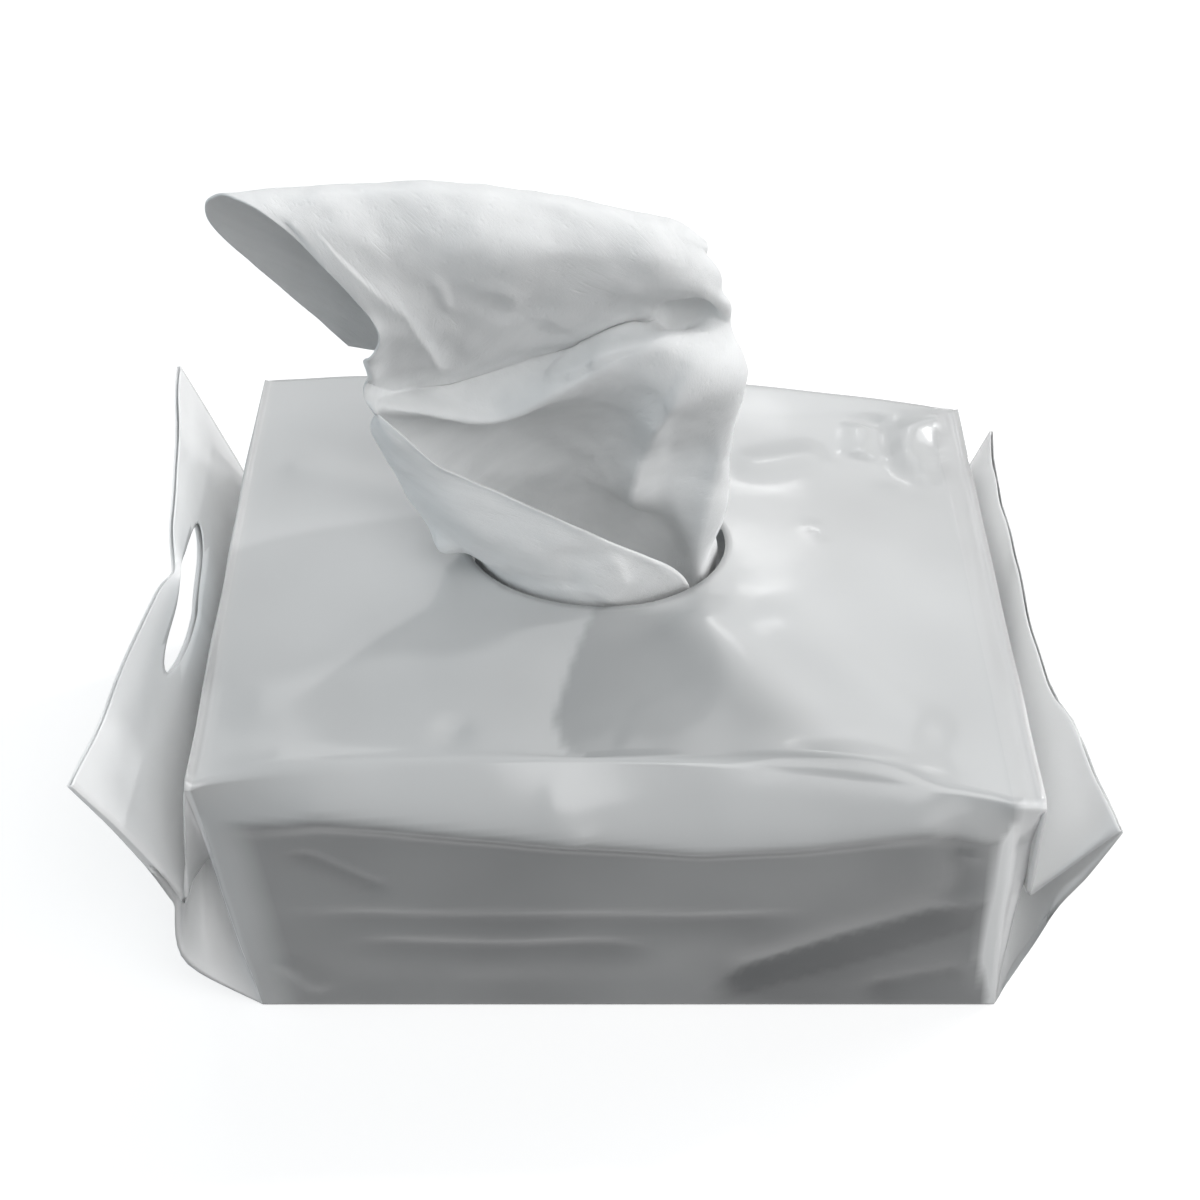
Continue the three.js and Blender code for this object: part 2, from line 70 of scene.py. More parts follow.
def bell_row(value: Array, bells: tuple[Triple, ...]) -> Array:
    """The sum of several bells, each given by its height, middle and width."""
    return sum(tall * bell(value, middle, width) for tall, middle, width in bells)


def ease(value: Array, low: float, high: float) -> Array:
    """A smooth step from zero at low to one at high, with level ends."""
    share = np.clip((value - low) / (high - low), 0.0, 1.0)
    return share * share * (3.0 - 2.0 * share)


def read_off(line: Line, place: Array) -> Array:
    """The second coordinate of a broken line where its first one is the given place."""
    return np.interp(place, *zip(*line))


def lines_between(*stops: tuple[float, int]) -> Array:
    """Values from stop to stop: a stop is a value and the number of equal steps that lead to it."""
    legs = [np.linspace(a, b, n + 1)[1:] for (a, _), (b, n) in zip(stops, stops[1:])]
    return np.concatenate([[stops[0][0]], *legs])


def lines_across(stops: tuple[Array, ...], counts: tuple[int, ...]) -> Array:
    """Equal steps between columns of stops, counted by leg, without the first and the last stop."""
    legs = [lerp(a, b, np.linspace(0.0, 1.0, n + 1)[None, 1:]) for a, b, n in zip(stops, stops[1:], counts)]
    return np.concatenate(legs, axis=1)[:, :-1]


def spline_through(points: Array, steps: int) -> Array:
    """Smooth curves through points along the first axis.

    Each span is a cubic whose end slopes come from its neighbours, weighted by the square roots of the
    chords. The first and the last chord are continued straight.

    Args:
        points: Control points, with the curve's course along the first axis and x, y, z along the last.
        steps: Equal steps in each span.

    Returns:
        The curve's points, spans times steps plus one of them.
    """
    run = np.concatenate([2 * points[:1] - points[1:2], points, 2 * points[-1:] - points[-2:-1]])
    chord = np.maximum(np.linalg.norm(np.diff(run, axis=0), axis=-1, keepdims=True), TINY) ** 0.5
    before, here, after = chord[:-2], chord[1:-1], chord[2:]
    p0, p1, p2, p3 = run[:-3], run[1:-2], run[2:-1], run[3:]
    leave = ((p1 - p0) / before - (p2 - p0) / (before + here) + (p2 - p1) / here) * here
    arrive = ((p2 - p1) / here - (p3 - p1) / (here + after) + (p3 - p2) / after) * here
    t = (np.arange(steps) / steps).reshape((1, steps) + (1,) * (points.ndim - 1))
    p1, p2, leave, arrive = (a[:, None] for a in (p1, p2, leave, arrive))
    curve = (
        (2 * t**3 - 3 * t**2 + 1) * p1
        + (t**3 - 2 * t**2 + t) * leave
        + (3 * t**2 - 2 * t**3) * p2
        + (t**3 - t**2) * arrive
    )
    return np.concatenate([curve.reshape((-1,) + points.shape[1:]), points[-1:]])


def grid_normals(grid: Array, ring: bool) -> Array:
    """Unit normals of a grid of points: the cross product of its two central differences.

    Args:
        grid: Points by row and column.
        ring: Whether the last column joins the first.

    Returns:
        One normal for each point.
    """
    down = np.gradient(grid, axis=0)
    across = np.roll(grid, -1, 1) - np.roll(grid, 1, 1) if ring else np.gradient(grid, axis=1)
    normal = np.cross(down, across)
    return normal / np.maximum(np.linalg.norm(normal, axis=-1, keepdims=True), TINY**2)


def run_length(grid: Array, axis: int) -> Array:
    """Distance along a grid's points from its first row or column, added up leg by leg."""
    legs = np.diff(grid, axis=axis, prepend=np.take(grid, [0], axis=axis))
    return np.cumsum(np.linalg.norm(legs, axis=-1), axis=axis)


def round_hole(u: Array, v: Array, middle: Pair, half: Pair, hole: float) -> tuple[Array, Array]:
    """Bends the square rings of lines round a hole into oval ones.

    The hole fills the given share of a block. In half blocks, a point whose larger coordinate is r slides
    along its own ray until its distance from the middle is r. It does so fully at the hole's edge and not at
    all at the block's edge.

    Args:
        u: First coordinate.
        v: Second coordinate.
        middle: The hole's middle.
        half: Its half sizes.
        hole: Its share of the block.

    Returns:
        The moved coordinates.
    """
    wide, tall = (size / hole for size in half)
    u, v = (u - middle[0]) / wide, (v - middle[1]) / tall
    square = np.maximum(np.abs(u), np.abs(v))
    distance = np.maximum(np.hypot(u, v), TINY**2)
    factor = lerp(np.ones_like(u), square / distance, 1.0 - ease(square, hole, 1.0))
    return middle[0] + u * factor * wide, middle[1] + v * factor * tall


@dataclass(frozen=True)
class Ripples:
    """Slack in a film or cloth: a sum of plane waves of seeded directions, lengths and phases."""

    count: int
    shortest: float
    longest: float
    height: float
    seed: int

    def relief(self, points: Array) -> Array:
        """Height of the waves: sines of the way along each heading, taller the longer the wave.

        Args:
            points: Points to work out.

        Returns:
            The height at each point, in millimetres.
        """
        dice = np.random.default_rng(self.seed)
        heading = dice.normal(size=(3, self.count))
        heading /= np.linalg.norm(heading, axis=0)
        length = np.exp(dice.uniform(np.log(self.shortest), np.log(self.longest), self.count))
        phase = dice.uniform(0.0, 2.0 * np.pi, self.count)
        waves = np.sin(2.0 * np.pi * (points @ heading) / length + phase)
        return waves @ (self.height * length / self.longest) / np.sqrt(self.count)


class Profile(Enum):
    """How a crease looks across its line: rounded, or with a sharp edge."""

    SOFT = 2.0
    SHARP = 1.0


@dataclass(frozen=True)
class Crease:
    """A crease along a path of places, with its own spread on either side of its course.

    Places are millimetres on a panel, or line and place on a net. A spread is given for the path's start
    and for its end, and so is the share of the path over which the crease dies out.
    """

    path: Line
    height: float
    left: Pair
    right: Pair
    profile: Profile = Profile.SOFT
    fade: Pair = (0.2, 0.2)

    def relief(self, points: Array, normals: Array, path: Array) -> Array:
        """Height of the crease at each point.

        The distance is that to the nearest place on the path, and its side is the side on which the point
        lies, seen against the normal. The height falls off as e to the minus distance in spreads, raised to
        the profile's power.

        Args:
            points: Points to work out.
            normals: The surface's normal at each point.
            path: The path's places as points.

        Returns:
            The height in millimetres.
        """
        legs = np.linalg.norm(np.diff(path, axis=0), axis=1)
        begun = np.concatenate([[0.0], np.cumsum(legs)]) / legs.sum()
        nearest = np.full(points.shape[:-1], np.inf)
        along, side = np.zeros_like(nearest), np.zeros_like(nearest)
        for start, end, low, high in zip(path, path[1:], begun, begun[1:]):
            run, away = end - start, points - start
            share = np.clip(away @ run / (run @ run), 0.0, 1.0)
            offset = away - share[..., None] * run
            distance = np.linalg.norm(offset, axis=-1)
            nearer = distance < nearest
            nearest = np.where(nearer, distance, nearest)
            along = np.where(nearer, lerp(low, high, share), along)
            side = np.where(nearer, np.sum(np.cross(run, offset) * normals, axis=-1), side)
        spread = np.where(side > 0.0, lerp(*self.left, along), lerp(*self.right, along))
        shape = np.exp(-((nearest / spread) ** self.profile.value))
        ends = ease(along, -TINY, self.fade[0]) * (1.0 - ease(along, 1.0 - self.fade[1], 1.0 + TINY))
        return self.height * shape * ends

    def on_panel(self, u: Array, v: Array) -> Array:
        """Height of the crease at places of a flat panel.

        Args:
            u: First panel coordinate.
            v: Second panel coordinate.

        Returns:
            The height in millimetres.
        """
        points = np.stack([u, v, np.zeros_like(u)], axis=-1)
        path = np.column_stack([np.array(self.path), np.zeros(len(self.path))])
        return self.relief(points, np.array([0.0, 0.0, 1.0]), path)


def fold(height: float, spread: float, *path: Pair, sharp: bool = False) -> Crease:
    """A crease of the same spread on both sides, in millimetres; below zero in height it is a valley."""
    return Crease(path, height, (spread, spread), (spread, spread), Profile.SHARP if sharp else Profile.SOFT)


@dataclass(frozen=True)
class Dent:
    """An oval dent in a panel, in that panel's own two coordinates. A negative depth makes a swelling."""

    middle: Pair
    half: Pair
    depth: float
    rim: float = 1.0

    def relief(self, u: Array, v: Array) -> Array:
        """Height of the dent: level inside, back to zero over the rim's share of its half size."""
        distance = np.hypot((u - self.middle[0]) / self.half[0], (v - self.middle[1]) / self.half[1])
        return -self.depth * (1.0 - ease(distance, 1.0 - self.rim, 1.0))


def mesh_piece(
    name: str, points: Array, faces: Array, uv: Array, veil: Array | None = None
) -> bpy.types.Object:
    """Makes a smooth piece from points in millimetres and four-sided faces.

    Args:
        name: The piece's name.
        points: Points, one a row.
        faces: Four point numbers a row.
        uv: Place of each point on the flat surface, in millimetres.
        veil: Milkiness of the film at each point, from 0 to 1, with painted shade and painted light mixed in.

    Returns:
        The new object, linked to the scene, at the origin.
    """
    used, index = np.unique(faces, return_inverse=True)
    index = index.reshape(-1).astype(np.int32)
    mesh = bpy.data.meshes.new(name)
    mesh.vertices.add(len(used))
    mesh.vertices.foreach_set("co", (points[used] * MILLIMETRE).astype(np.float32).ravel())
    mesh.loops.add(len(index))
    mesh.loops.foreach_set("vertex_index", index)
    mesh.polygons.add(len(faces))
    mesh.polygons.foreach_set("loop_start", np.arange(0, len(index), 4, dtype=np.int32))
    mesh.polygons.foreach_set("use_smooth", np.ones(len(faces), dtype=bool))
    layer = mesh.uv_layers.new(name="flat")
    layer.data.foreach_set("uv", uv[used][index].astype(np.float32).ravel())
    # This attribute holds the film's milkiness together with painted shade and painted light.
    if veil is not None:
        mesh.attributes.new("veil", "FLOAT", "POINT").data.foreach_set("value", veil[used].astype(np.float32))
    mesh.update(calc_edges=True)
    mesh.validate()
    piece = bpy.data.objects.new(name, mesh)
    bpy.context.scene.collection.objects.link(piece)
    return piece


def grid_faces(rows: int, columns: int, ring: bool) -> Array:
    """Point numbers of the faces of a grid, by row and column.

    Args:
        rows: Rows of points.
        columns: Columns of points.
        ring: Whether the last column joins the first.

    Returns:
        An array of faces by row and column, four point numbers each.
    """
    row = np.arange(rows - 1)[:, None] * columns
    here = np.arange(columns if ring else columns - 1)[None, :]
    after = (here + 1) % columns
    return np.stack([row + here, row + after, row + columns + after, row + columns + here], axis=-1)


def thicken(piece: bpy.types.Object, thickness: float, offset: float) -> None:
    """Gives a skin its thickness.

    Args:
        piece: The skin.
        thickness: Its thickness in millimetres.
        offset: Where the skin lies in it: -1 is the outer face, 0 the middle.
    """
    wall = piece.modifiers.new("wall", "SOLIDIFY")
    wall.thickness = thickness * MILLIMETRE
    wall.offset = offset
    wall.use_rim = True


class NodeTree:
    """A short hand for placing, setting and joining shader nodes."""

    def __init__(self, tree: bpy.types.NodeTree) -> None:
        """Takes the tree to work in."""
        self.tree = tree

    @staticmethod
    def put(node: bpy.types.Node, values: dict[str, object]) -> bpy.types.Node:
        """Sets a node's properties, or its inputs where it has no such property.

        Args:
            node: The node.
            values: Property or input names, with underscores for spaces, and their values.

        Returns:
            The same node.
        """
        for key, value in values.items():
            if hasattr(node, key):
                setattr(node, key, value)
            else:
                node.inputs[key.replace("_", " ")].default_value = value
        return node

    def add(self, kind: str, **values: object) -> bpy.types.Node:
        """Places a node of Blender's type of that name and sets its values."""
        return self.put(self.tree.nodes.new(kind), values)

    def find(self, name: str, **values: object) -> bpy.types.Node:
        """Finds a node that the tree starts with and sets its values."""
        return self.put(self.tree.nodes[name], values)

    def join(self, source: bpy.types.Node, output: str, target: bpy.types.Node, into: str | int) -> None:
        """Joins an output of one node to an input of another."""
        self.tree.links.new(source.outputs[output], target.inputs[into])


def new_material(name: str) -> tuple[bpy.types.Material, NodeTree]:
    """Makes a material with Blender's starting nodes.

    Args:
        name: The material's name.

    Returns:
        The material and its tree.
    """
    made = bpy.data.materials.new(name)
    made.use_nodes = True
    return made, NodeTree(made.node_tree)


def mottle_group() -> bpy.types.NodeTree:
    """Builds the shared effect of soft uneven patches, from 0 to 1, at a given size.

    Returns:
        A shader group with Vector and Scale in, and Mask out.
    """
    group = bpy.data.node_groups.new("soft_mottle", "ShaderNodeTree")
    group.interface.new_socket("Vector", in_out="INPUT", socket_type="NodeSocketVector")
    group.interface.new_socket("Scale", in_out="INPUT", socket_type="NodeSocketFloat")
    group.interface.new_socket("Mask", in_out="OUTPUT", socket_type="NodeSocketFloat")
    nodes = NodeTree(group)
    inside = nodes.add("NodeGroupInput")
    outside = nodes.add("NodeGroupOutput")
    noise = nodes.add("ShaderNodeTexNoise")
    spread = nodes.add("ShaderNodeMapRange", From_Min=MOTTLE_SPAN[0], From_Max=MOTTLE_SPAN[1])
    nodes.join(inside, "Vector", noise, "Vector")
    nodes.join(inside, "Scale", noise, "Scale")
    nodes.join(noise, "Fac", spread, "Value")
    nodes.join(spread, "Result", outside, "Mask")
    return group


@dataclass(frozen=True)
class FilmFinish:
    """Glossy white plastic film with faint cloudiness and fine handling marks.

    Over the wipes it is backed by them. At the ends light comes through it, by the given glow. Its colour is
    mixed from deep to pale by the film's milkiness with painted shade and painted light, so the deep colour
    is painted shade. Depths are metres, and scales are for patterns in metres.
    """

    name: str = "film"
    glow: float = 0.0
    glow_depth: float = 0.0003
    pale: Colour = (0.92, 0.93, 0.93, 1.0)
    # The deep colour is painted shade: the film turns this dark only where shade is painted into its colour.
    deep: Colour = (0.05, 0.053, 0.056, 1.0)
    gloss: Pair = (0.13, 0.21)
    cloudiness: float = 0.12
    cloud_scale: float = 18.0
    mark_scale: float = 60.0
    skin_scale: float = 140.0
    skin_strength: float = 0.12
    skin_depth: float = 0.0004

    def material(self, mottle: bpy.types.NodeTree) -> bpy.types.Material:
        """Builds the film's material: the film's milkiness with its painted shade and light, and faint
        clouds, mix its colour from deep to pale.

        Args:
            mottle: The shared group of soft patches.

        Returns:
            The material.
        """
        made, nodes = new_material(self.name)
        surface = nodes.find(
            "Principled BSDF", Subsurface_Weight=self.glow, Subsurface_Radius=EVENLY,
            Subsurface_Scale=self.glow_depth,
        )
        place = nodes.add("ShaderNodeTexCoord")
        clouds = nodes.add("ShaderNodeGroup", node_tree=mottle, Scale=self.cloud_scale)
        marks = nodes.add("ShaderNodeGroup", node_tree=mottle, Scale=self.mark_scale)
        skin = nodes.add("ShaderNodeTexNoise", Scale=self.skin_scale)
        # The attribute brings the film's milkiness with its painted shade and painted light into the mix.
        veil = nodes.add("ShaderNodeAttribute", attribute_name="veil")
        milk_and_shade_mix = nodes.add("ShaderNodeMath", operation="MULTIPLY_ADD", use_clamp=True)
        milk_and_shade_mix.inputs[1].default_value = self.cloudiness
        tint = nodes.add("ShaderNodeMix", data_type="RGBA", A=self.deep, B=self.pale)
        rough = nodes.add("ShaderNodeMapRange", To_Min=self.gloss[0], To_Max=self.gloss[1])
        bump = nodes.add("ShaderNodeBump", Strength=self.skin_strength, Distance=self.skin_depth)
        for patch in (clouds, marks, skin):
            nodes.join(place, "Object", patch, "Vector")
        nodes.join(clouds, "Mask", milk_and_shade_mix, 0)
        nodes.join(veil, "Fac", milk_and_shade_mix, 2)
        nodes.join(milk_and_shade_mix, "Value", tint, "Factor")
        nodes.join(marks, "Mask", rough, "Value")
        nodes.join(skin, "Fac", bump, "Height")
        nodes.join(tint, "Result", surface, "Base Color")
        nodes.join(rough, "Result", surface, "Roughness")
        nodes.join(bump, "Normal", surface, "Normal")
        return made


@dataclass(frozen=True)
class ClothFinish:
    """Moist white nonwoven cloth: tangled fibres, small pits and a soft pearly surface.

    Depths of glow and weave are metres, and scales are for patterns in millimetres.
    """

    name: str = "cloth"
    pale: Colour = (0.87, 0.878, 0.88, 1.0)
    deep: Colour = (0.80, 0.81, 0.812, 1.0)
    rough: Pair = (0.5, 0.75)
    glow: float = 0.5
    glow_depth: float = 0.0009
    sheen: float = 0.15
    damp_scale: float = 0.11
    fibre_stretch: Triple = (2.6, 0.8, 1.0)
    fibre_detail: float = 4.0
    fibre_rough: float = 0.65
    fibre_tangle: float = 1.2
    pit_scale: float = 0.55
    pit_scatter: float = 0.8
    pit_size: float = 0.35
    pit_height: float = -0.7
    weave_strength: float = 0.32
    weave_depth: float = 0.0004

    def material(self, mottle: bpy.types.NodeTree) -> bpy.types.Material:
        """Builds the cloth's material, with its pattern in the cloth's own flat millimetres.

        Args:
            mottle: The shared group of soft patches.

        Returns:
            The material.
        """
        made, nodes = new_material(self.name)
        surface = nodes.find(
            "Principled BSDF", Subsurface_Weight=self.glow, Subsurface_Radius=EVENLY,
            Subsurface_Scale=self.glow_depth, Sheen_Weight=self.sheen,
        )
        place = nodes.add("ShaderNodeTexCoord")
        damp = nodes.add("ShaderNodeGroup", node_tree=mottle, Scale=self.damp_scale)
        tint = nodes.add("ShaderNodeMix", data_type="RGBA", A=self.deep, B=self.pale)
        rough = nodes.add("ShaderNodeMapRange", To_Min=self.rough[0], To_Max=self.rough[1])
        stretch = nodes.add("ShaderNodeMapping", Scale=self.fibre_stretch)
        fibres = nodes.add(
            "ShaderNodeTexNoise", Scale=1.0, Detail=self.fibre_detail, Roughness=self.fibre_rough,
            Distortion=self.fibre_tangle,
        )
        pits = nodes.add("ShaderNodeTexVoronoi", Scale=self.pit_scale, Randomness=self.pit_scatter)
        pit = nodes.add("ShaderNodeMapRange", From_Max=self.pit_size, To_Min=self.pit_height, To_Max=0.0)
        weave = nodes.add("ShaderNodeMath", operation="ADD")
        bump = nodes.add("ShaderNodeBump", Strength=self.weave_strength, Distance=self.weave_depth)
        for pattern in (stretch, damp, pits):
            nodes.join(place, "UV", pattern, "Vector")
        nodes.join(stretch, "Vector", fibres, "Vector")
        nodes.join(pits, "Distance", pit, "Value")
        nodes.join(fibres, "Fac", weave, 0)
        nodes.join(pit, "Result", weave, 1)
        nodes.join(weave, "Value", bump, "Height")
        nodes.join(damp, "Mask", tint, "Factor")
        nodes.join(damp, "Mask", rough, "Value")
        nodes.join(tint, "Result", surface, "Base Color")
        nodes.join(rough, "Result", surface, "Roughness")
        nodes.join(bump, "Normal", surface, "Normal")
        return made


@dataclass(frozen=True)
class TopPanel:
    """The pouch's top film: four corner heights, a crown along its length, and an oval opening."""

    length: float = 160.0
    depth: float = 115.0
    shift: float = 2.0
    left_height: float = 80.0
    right_height: float = 74.0
    back_right_drop: float = 3.0
    crown: float = 4.0
    oval_half: Pair = (27.0, 19.0)
    oval_middle: Pair = (-2.0, 6.5)

    @property
    def left(self) -> float:
        """X of the left end crease."""
        return self.shift - self.length / 2.0

    @property
    def right(self) -> float:
        """X of the right end crease."""
        return self.shift + self.length / 2.0

    def height(self, x: Array, y: Array) -> Array:
        """Height of the smooth panel: corner heights mixed by place, and half a sine wave along it.

        Args:
            x: Place along the pack.
            y: Place across it.

        Returns:
            The height in millimetres.
        """
        along = np.clip((x - self.left) / self.length, 0.0, 1.0)
        back = y / self.depth + 0.5
        flat = lerp(self.left_height, self.right_height - self.back_right_drop * back, along)
        return flat + self.crown * np.sin(np.pi * along)


class Bow(Enum):
    """Where an end fin leans back towards the body."""

    MIDDLE = "middle"
    BACK = "back"


@dataclass(frozen=True)
class EndFold:
    """One tucked and sealed end. Points are X and Z; shares run from 0 to 1.

    The top film turns down at the crease, runs to the valley and turns up into the fin. The bottom film
    comes up from the base over the belly and lies against the fin. The two films of the fin are apart by the
    mouth at its foot and by the seal's thickness at its edge.
    """

    out: float
    crease: Pair
    base: Pair
    tuck: float
    valley: Pair
    tip: Pair
    belly: Pair
    mouth: float
    gusset_run: float
    gusset_depth: float
    foot: float
    fold_start: float
    back_inset: float
    bow: Bow
    bow_depth: float
    sealed: float = 0.7
    valley_turn: float = 0.03
    valley_steps: int = 3

    @property
    def turned(self) -> float:
        """Share of the fin at which the film has turned up out of the valley."""
        return self.valley_steps * self.valley_turn

    def lean(self, y: Array, half: float) -> Array:
        """How far the fin's edge leans back at y: a tent in the middle, or a quarter sine to the back.

        Args:
            y: Place across the pack.
            half: Half of the pack's depth.

        Returns:
            The lean in millimetres.
        """
        if self.bow is Bow.MIDDLE:
            return self.bow_depth * (1.0 - np.abs(y) / half)
        return self.bow_depth * np.sin(np.pi / 2.0 * np.clip((y + half) / half, 0.0, 1.0))

    def on_fin(self, fin: Array) -> Array:
        """Points of the fin's inner film, the given share of the way up it."""
        valley, tip = np.array(self.valley), np.array(self.tip)
        return valley + (tip - valley) * np.asarray(fin)[..., None]

    def outside_fin(self, fin: Array) -> Array:
        """Points of the fin's outer film: the inner one moved out across the fin by its closing gap.

        Args:
            fin: Share of the way up the fin.

        Returns:
            The points' X and Z.
        """
        line = np.array(self.tip) - np.array(self.valley)
        line /= np.linalg.norm(line)
        face = np.array([line[1], -line[0]]) * self.out
        gap = lerp(self.mouth, self.sealed, np.asarray(fin))
        return self.on_fin(fin) + face * gap[..., None]

    def rising_film(self, share: Array) -> Array:
        """Points of the bottom film from the base over the belly to the fin: two joined cubics.

        Args:
            share: Share of the way from the base to the fin.

        Returns:
            The points' X and Z.
        """
        points = np.array([self.base, self.base, self.belly, self.outside_fin(0.0), self.outside_fin(0.0)])
        place = np.clip(np.asarray(share), 0.0, 1.0) * 2.0
        span = np.minimum(place.astype(int), 1)
        t = (place - span)[..., None]
        p0, p1, p2, p3 = (points[span + step] for step in range(4))
        leave, arrive = (p2 - p0) / 2.0, (p3 - p1) / 2.0
        bend = (2 * p1 - 2 * p2 + leave + arrive) * t**3
        return bend + (3 * p2 - 3 * p1 - 2 * leave - arrive) * t**2 + leave * t + p1


@dataclass
class Stations:
    """Cross-sections along the pack, one value of each a section.

    Top and bottom are the films' X and Z. Gusset is the depth of the tuck and fold the share down at which it
    is deepest. Flap, fin and outer are shares of the way to the valley, up the fin's inner film and up its
    outer one. Out is the end's side, 0 on the body, and share is the share of the body's length.
    """

    top: Array
    bottom: Array
    gusset: Array
    fold: Array
    flap: Array
    fin: Array
    outer: Array
    out: Array
    share: Array

    def reversed(self) -> "Stations":
        """The same sections in the opposite order."""
        return Stations(**{key: value[::-1] for key, value in vars(self).items()})

    @staticmethod
    def chain(*parts: "Stations") -> "Stations":
        """The sections of several runs, one run after the other."""
        return Stations(**{key: np.concatenate([vars(p)[key] for p in parts]) for key in vars(parts[0])})


class Strip(IntEnum):
    """The panels, in the order in which a ring round the pouch passes them."""

    FRONT = 0
    BASE = 1
    BACK = 2
    TOP = 3


@dataclass(frozen=True)
class Skin:
    """What the places of the pouch's skin are worked out from, by section and ring place.

    X is that of the top film and y the place across. Down is the share of the way from the top film to the
    bottom film. Fin and outer are shares of the way up a fin, on its inner and outer film.
    """

    x: Array
    y: Array
    down: Array
    fin: Array
    outer: Array
    strip: Array
    counts: tuple[int, ...]


@dataclass(frozen=True)
class FinEdge:
    """How a fin's edge rises and dips across the pack: waves, bumps and a rise towards the back.

    A wave is its height, length and phase. A bump is its height, middle and width.
    """

    waves: tuple[Triple, ...]
    bumps: tuple[Triple, ...] = ()
    back_rise: float = 0.0
    back_run: Pair = (10.0, 57.0)

    def height(self, y: Array) -> Array:
        """Height of the edge at y: the sum of the sine waves, the bells and the eased rise."""
        waves = sum(tall * np.sin(y / length + phase) for tall, length, phase in self.waves)
        return waves + bell_row(y, self.bumps) + self.back_rise * ease(y, *self.back_run)


@dataclass(frozen=True)
class MilkAndPaintedShade:
    """The film's milkiness, with painted light and shade: palest at the ends, where two layers of film also
    stand in for light shining through them, less where it lies on the wipes, with painted shade in a fan on
    the top, below the front's brow, in its valleys and in the hollow under the slack fold, and painted light
    above the brow, near the front's left end and on the right gusset.

    A soft pair is where a change begins and ends, in millimetres past its line.
    """

    # Paler ends: two layers of film, and painted glow for the light shining through them.
    doubled_with_painted_glow: Pair = (0.9, 1.0)
    clinging: float = 0.525
    # The next two levels are painted shade: on the top in the fan in front of the oval, and on the front
    # below the brow.
    fan_shade_level: float = 0.365
    standing: float = 0.22
    fan_lines: tuple[Line, Line] = (
        ((12, -2), (27, -7), (40, -10), (47, -8), (52, 0), (57, 14)),
        ((12, 12), (33, 29), (57, 50)),
    )
    fan_soft: tuple[Pair, Pair] = ((-0.8, 0.8), (-7.0, 9.0))
    fan_start: Pair = (11.0, 14.0)
    brow_soft: Pair = (-2.5, 2.0)
    # Painted light on the front near its left end and on the right gusset.
    painted_light_left_end: Pair = (60.0, 74.0)
    gusset_edge: Line = ((4, 83), (20, 78.6), (64, 74.8), (76, 78))
    gusset_soft: Pair = (-1.8, 1.8)
    painted_light_gusset_gain: float = 2.2
    # Painted shade in the hollow under the slack fold and in the front's valleys.
    slack_line: Line = ((21, 8), (40, 21), (50, 27), (62, 34), (76, 43))
    slack_start: Pair = (19.0, 33.0)
    hollow_soft: Pair = (-2.0, 2.5)
    hollow_end: Pair = (7.0, 13.0)
    hollow_loss: float = 0.6
    valley_shade_share: float = 0.4
    crease_run: float = 0.08

    def on_top(self, x: Array, y: Array) -> Array:
        """The top film's milkiness, with painted shade in a fan between the oval and the front edge.

        Args:
            x: Place along the pack.
            y: Place across it.

        Returns:
            The veil at each point.
        """
        past_left, past_right = (x - read_off(line, -y) for line in self.fan_lines)
        fan = ease(past_left, *self.fan_soft[0]) * (1.0 - ease(past_right, *self.fan_soft[1]))
        return lerp(self.clinging, self.fan_shade_level, fan * ease(-y, *self.fan_start))

    def on_front(self, x: Array, z: Array, above_brow: Array, valleys: Array) -> Array:
        """The front film's milkiness, with painted light and shade.

        It is painted lighter above the brow, near the left end and on the right gusset, and painted in shade
        below the brow, most in its valleys and in the hollow under the slack fold.

        Args:
            x: Place along the pack.
            z: Height.
            above_brow: Height above the brow.
            valleys: Depth of the valleys.

        Returns:
            The veil at each point; at 1 and above, the film is as milky as it can be.
        """
        # Painted light above the brow and near the ends; painted shade below it, in the hollow and in the
        # valleys.
        past_gusset = x - read_off(self.gusset_edge, z)
        loose = np.maximum(ease(-x, *self.painted_light_left_end), self.painted_light_gusset_gain * ease(past_gusset, *self.gusset_soft))
        painted_light_share = np.maximum(ease(above_brow, *self.brow_soft), loose)
        below = read_off(self.slack_line, x) - z
        depth = ease(below, *self.hollow_soft) * (1.0 - self.hollow_loss * ease(below, *self.hollow_end))
        hollow = depth * ease(x, *self.slack_start)
        painted_shade = np.clip(hollow + self.valley_shade_share * valleys, 0.0, 1.0)
        return np.maximum(self.standing * (1.0 - painted_shade), self.clinging * painted_light_share)

    def at_end(self, flap: Array, on_top: Array) -> Array:
        """The milkiness of a tucked end: two layers of film, painted paler for the light shining through
        them, which on the top begins just past the crease.
        """
        past_crease = np.where(on_top, ease(flap, 0.0, self.crease_run), 1.0)
        return lerp(self.clinging, lerp(*self.doubled_with_painted_glow, flap), past_crease)


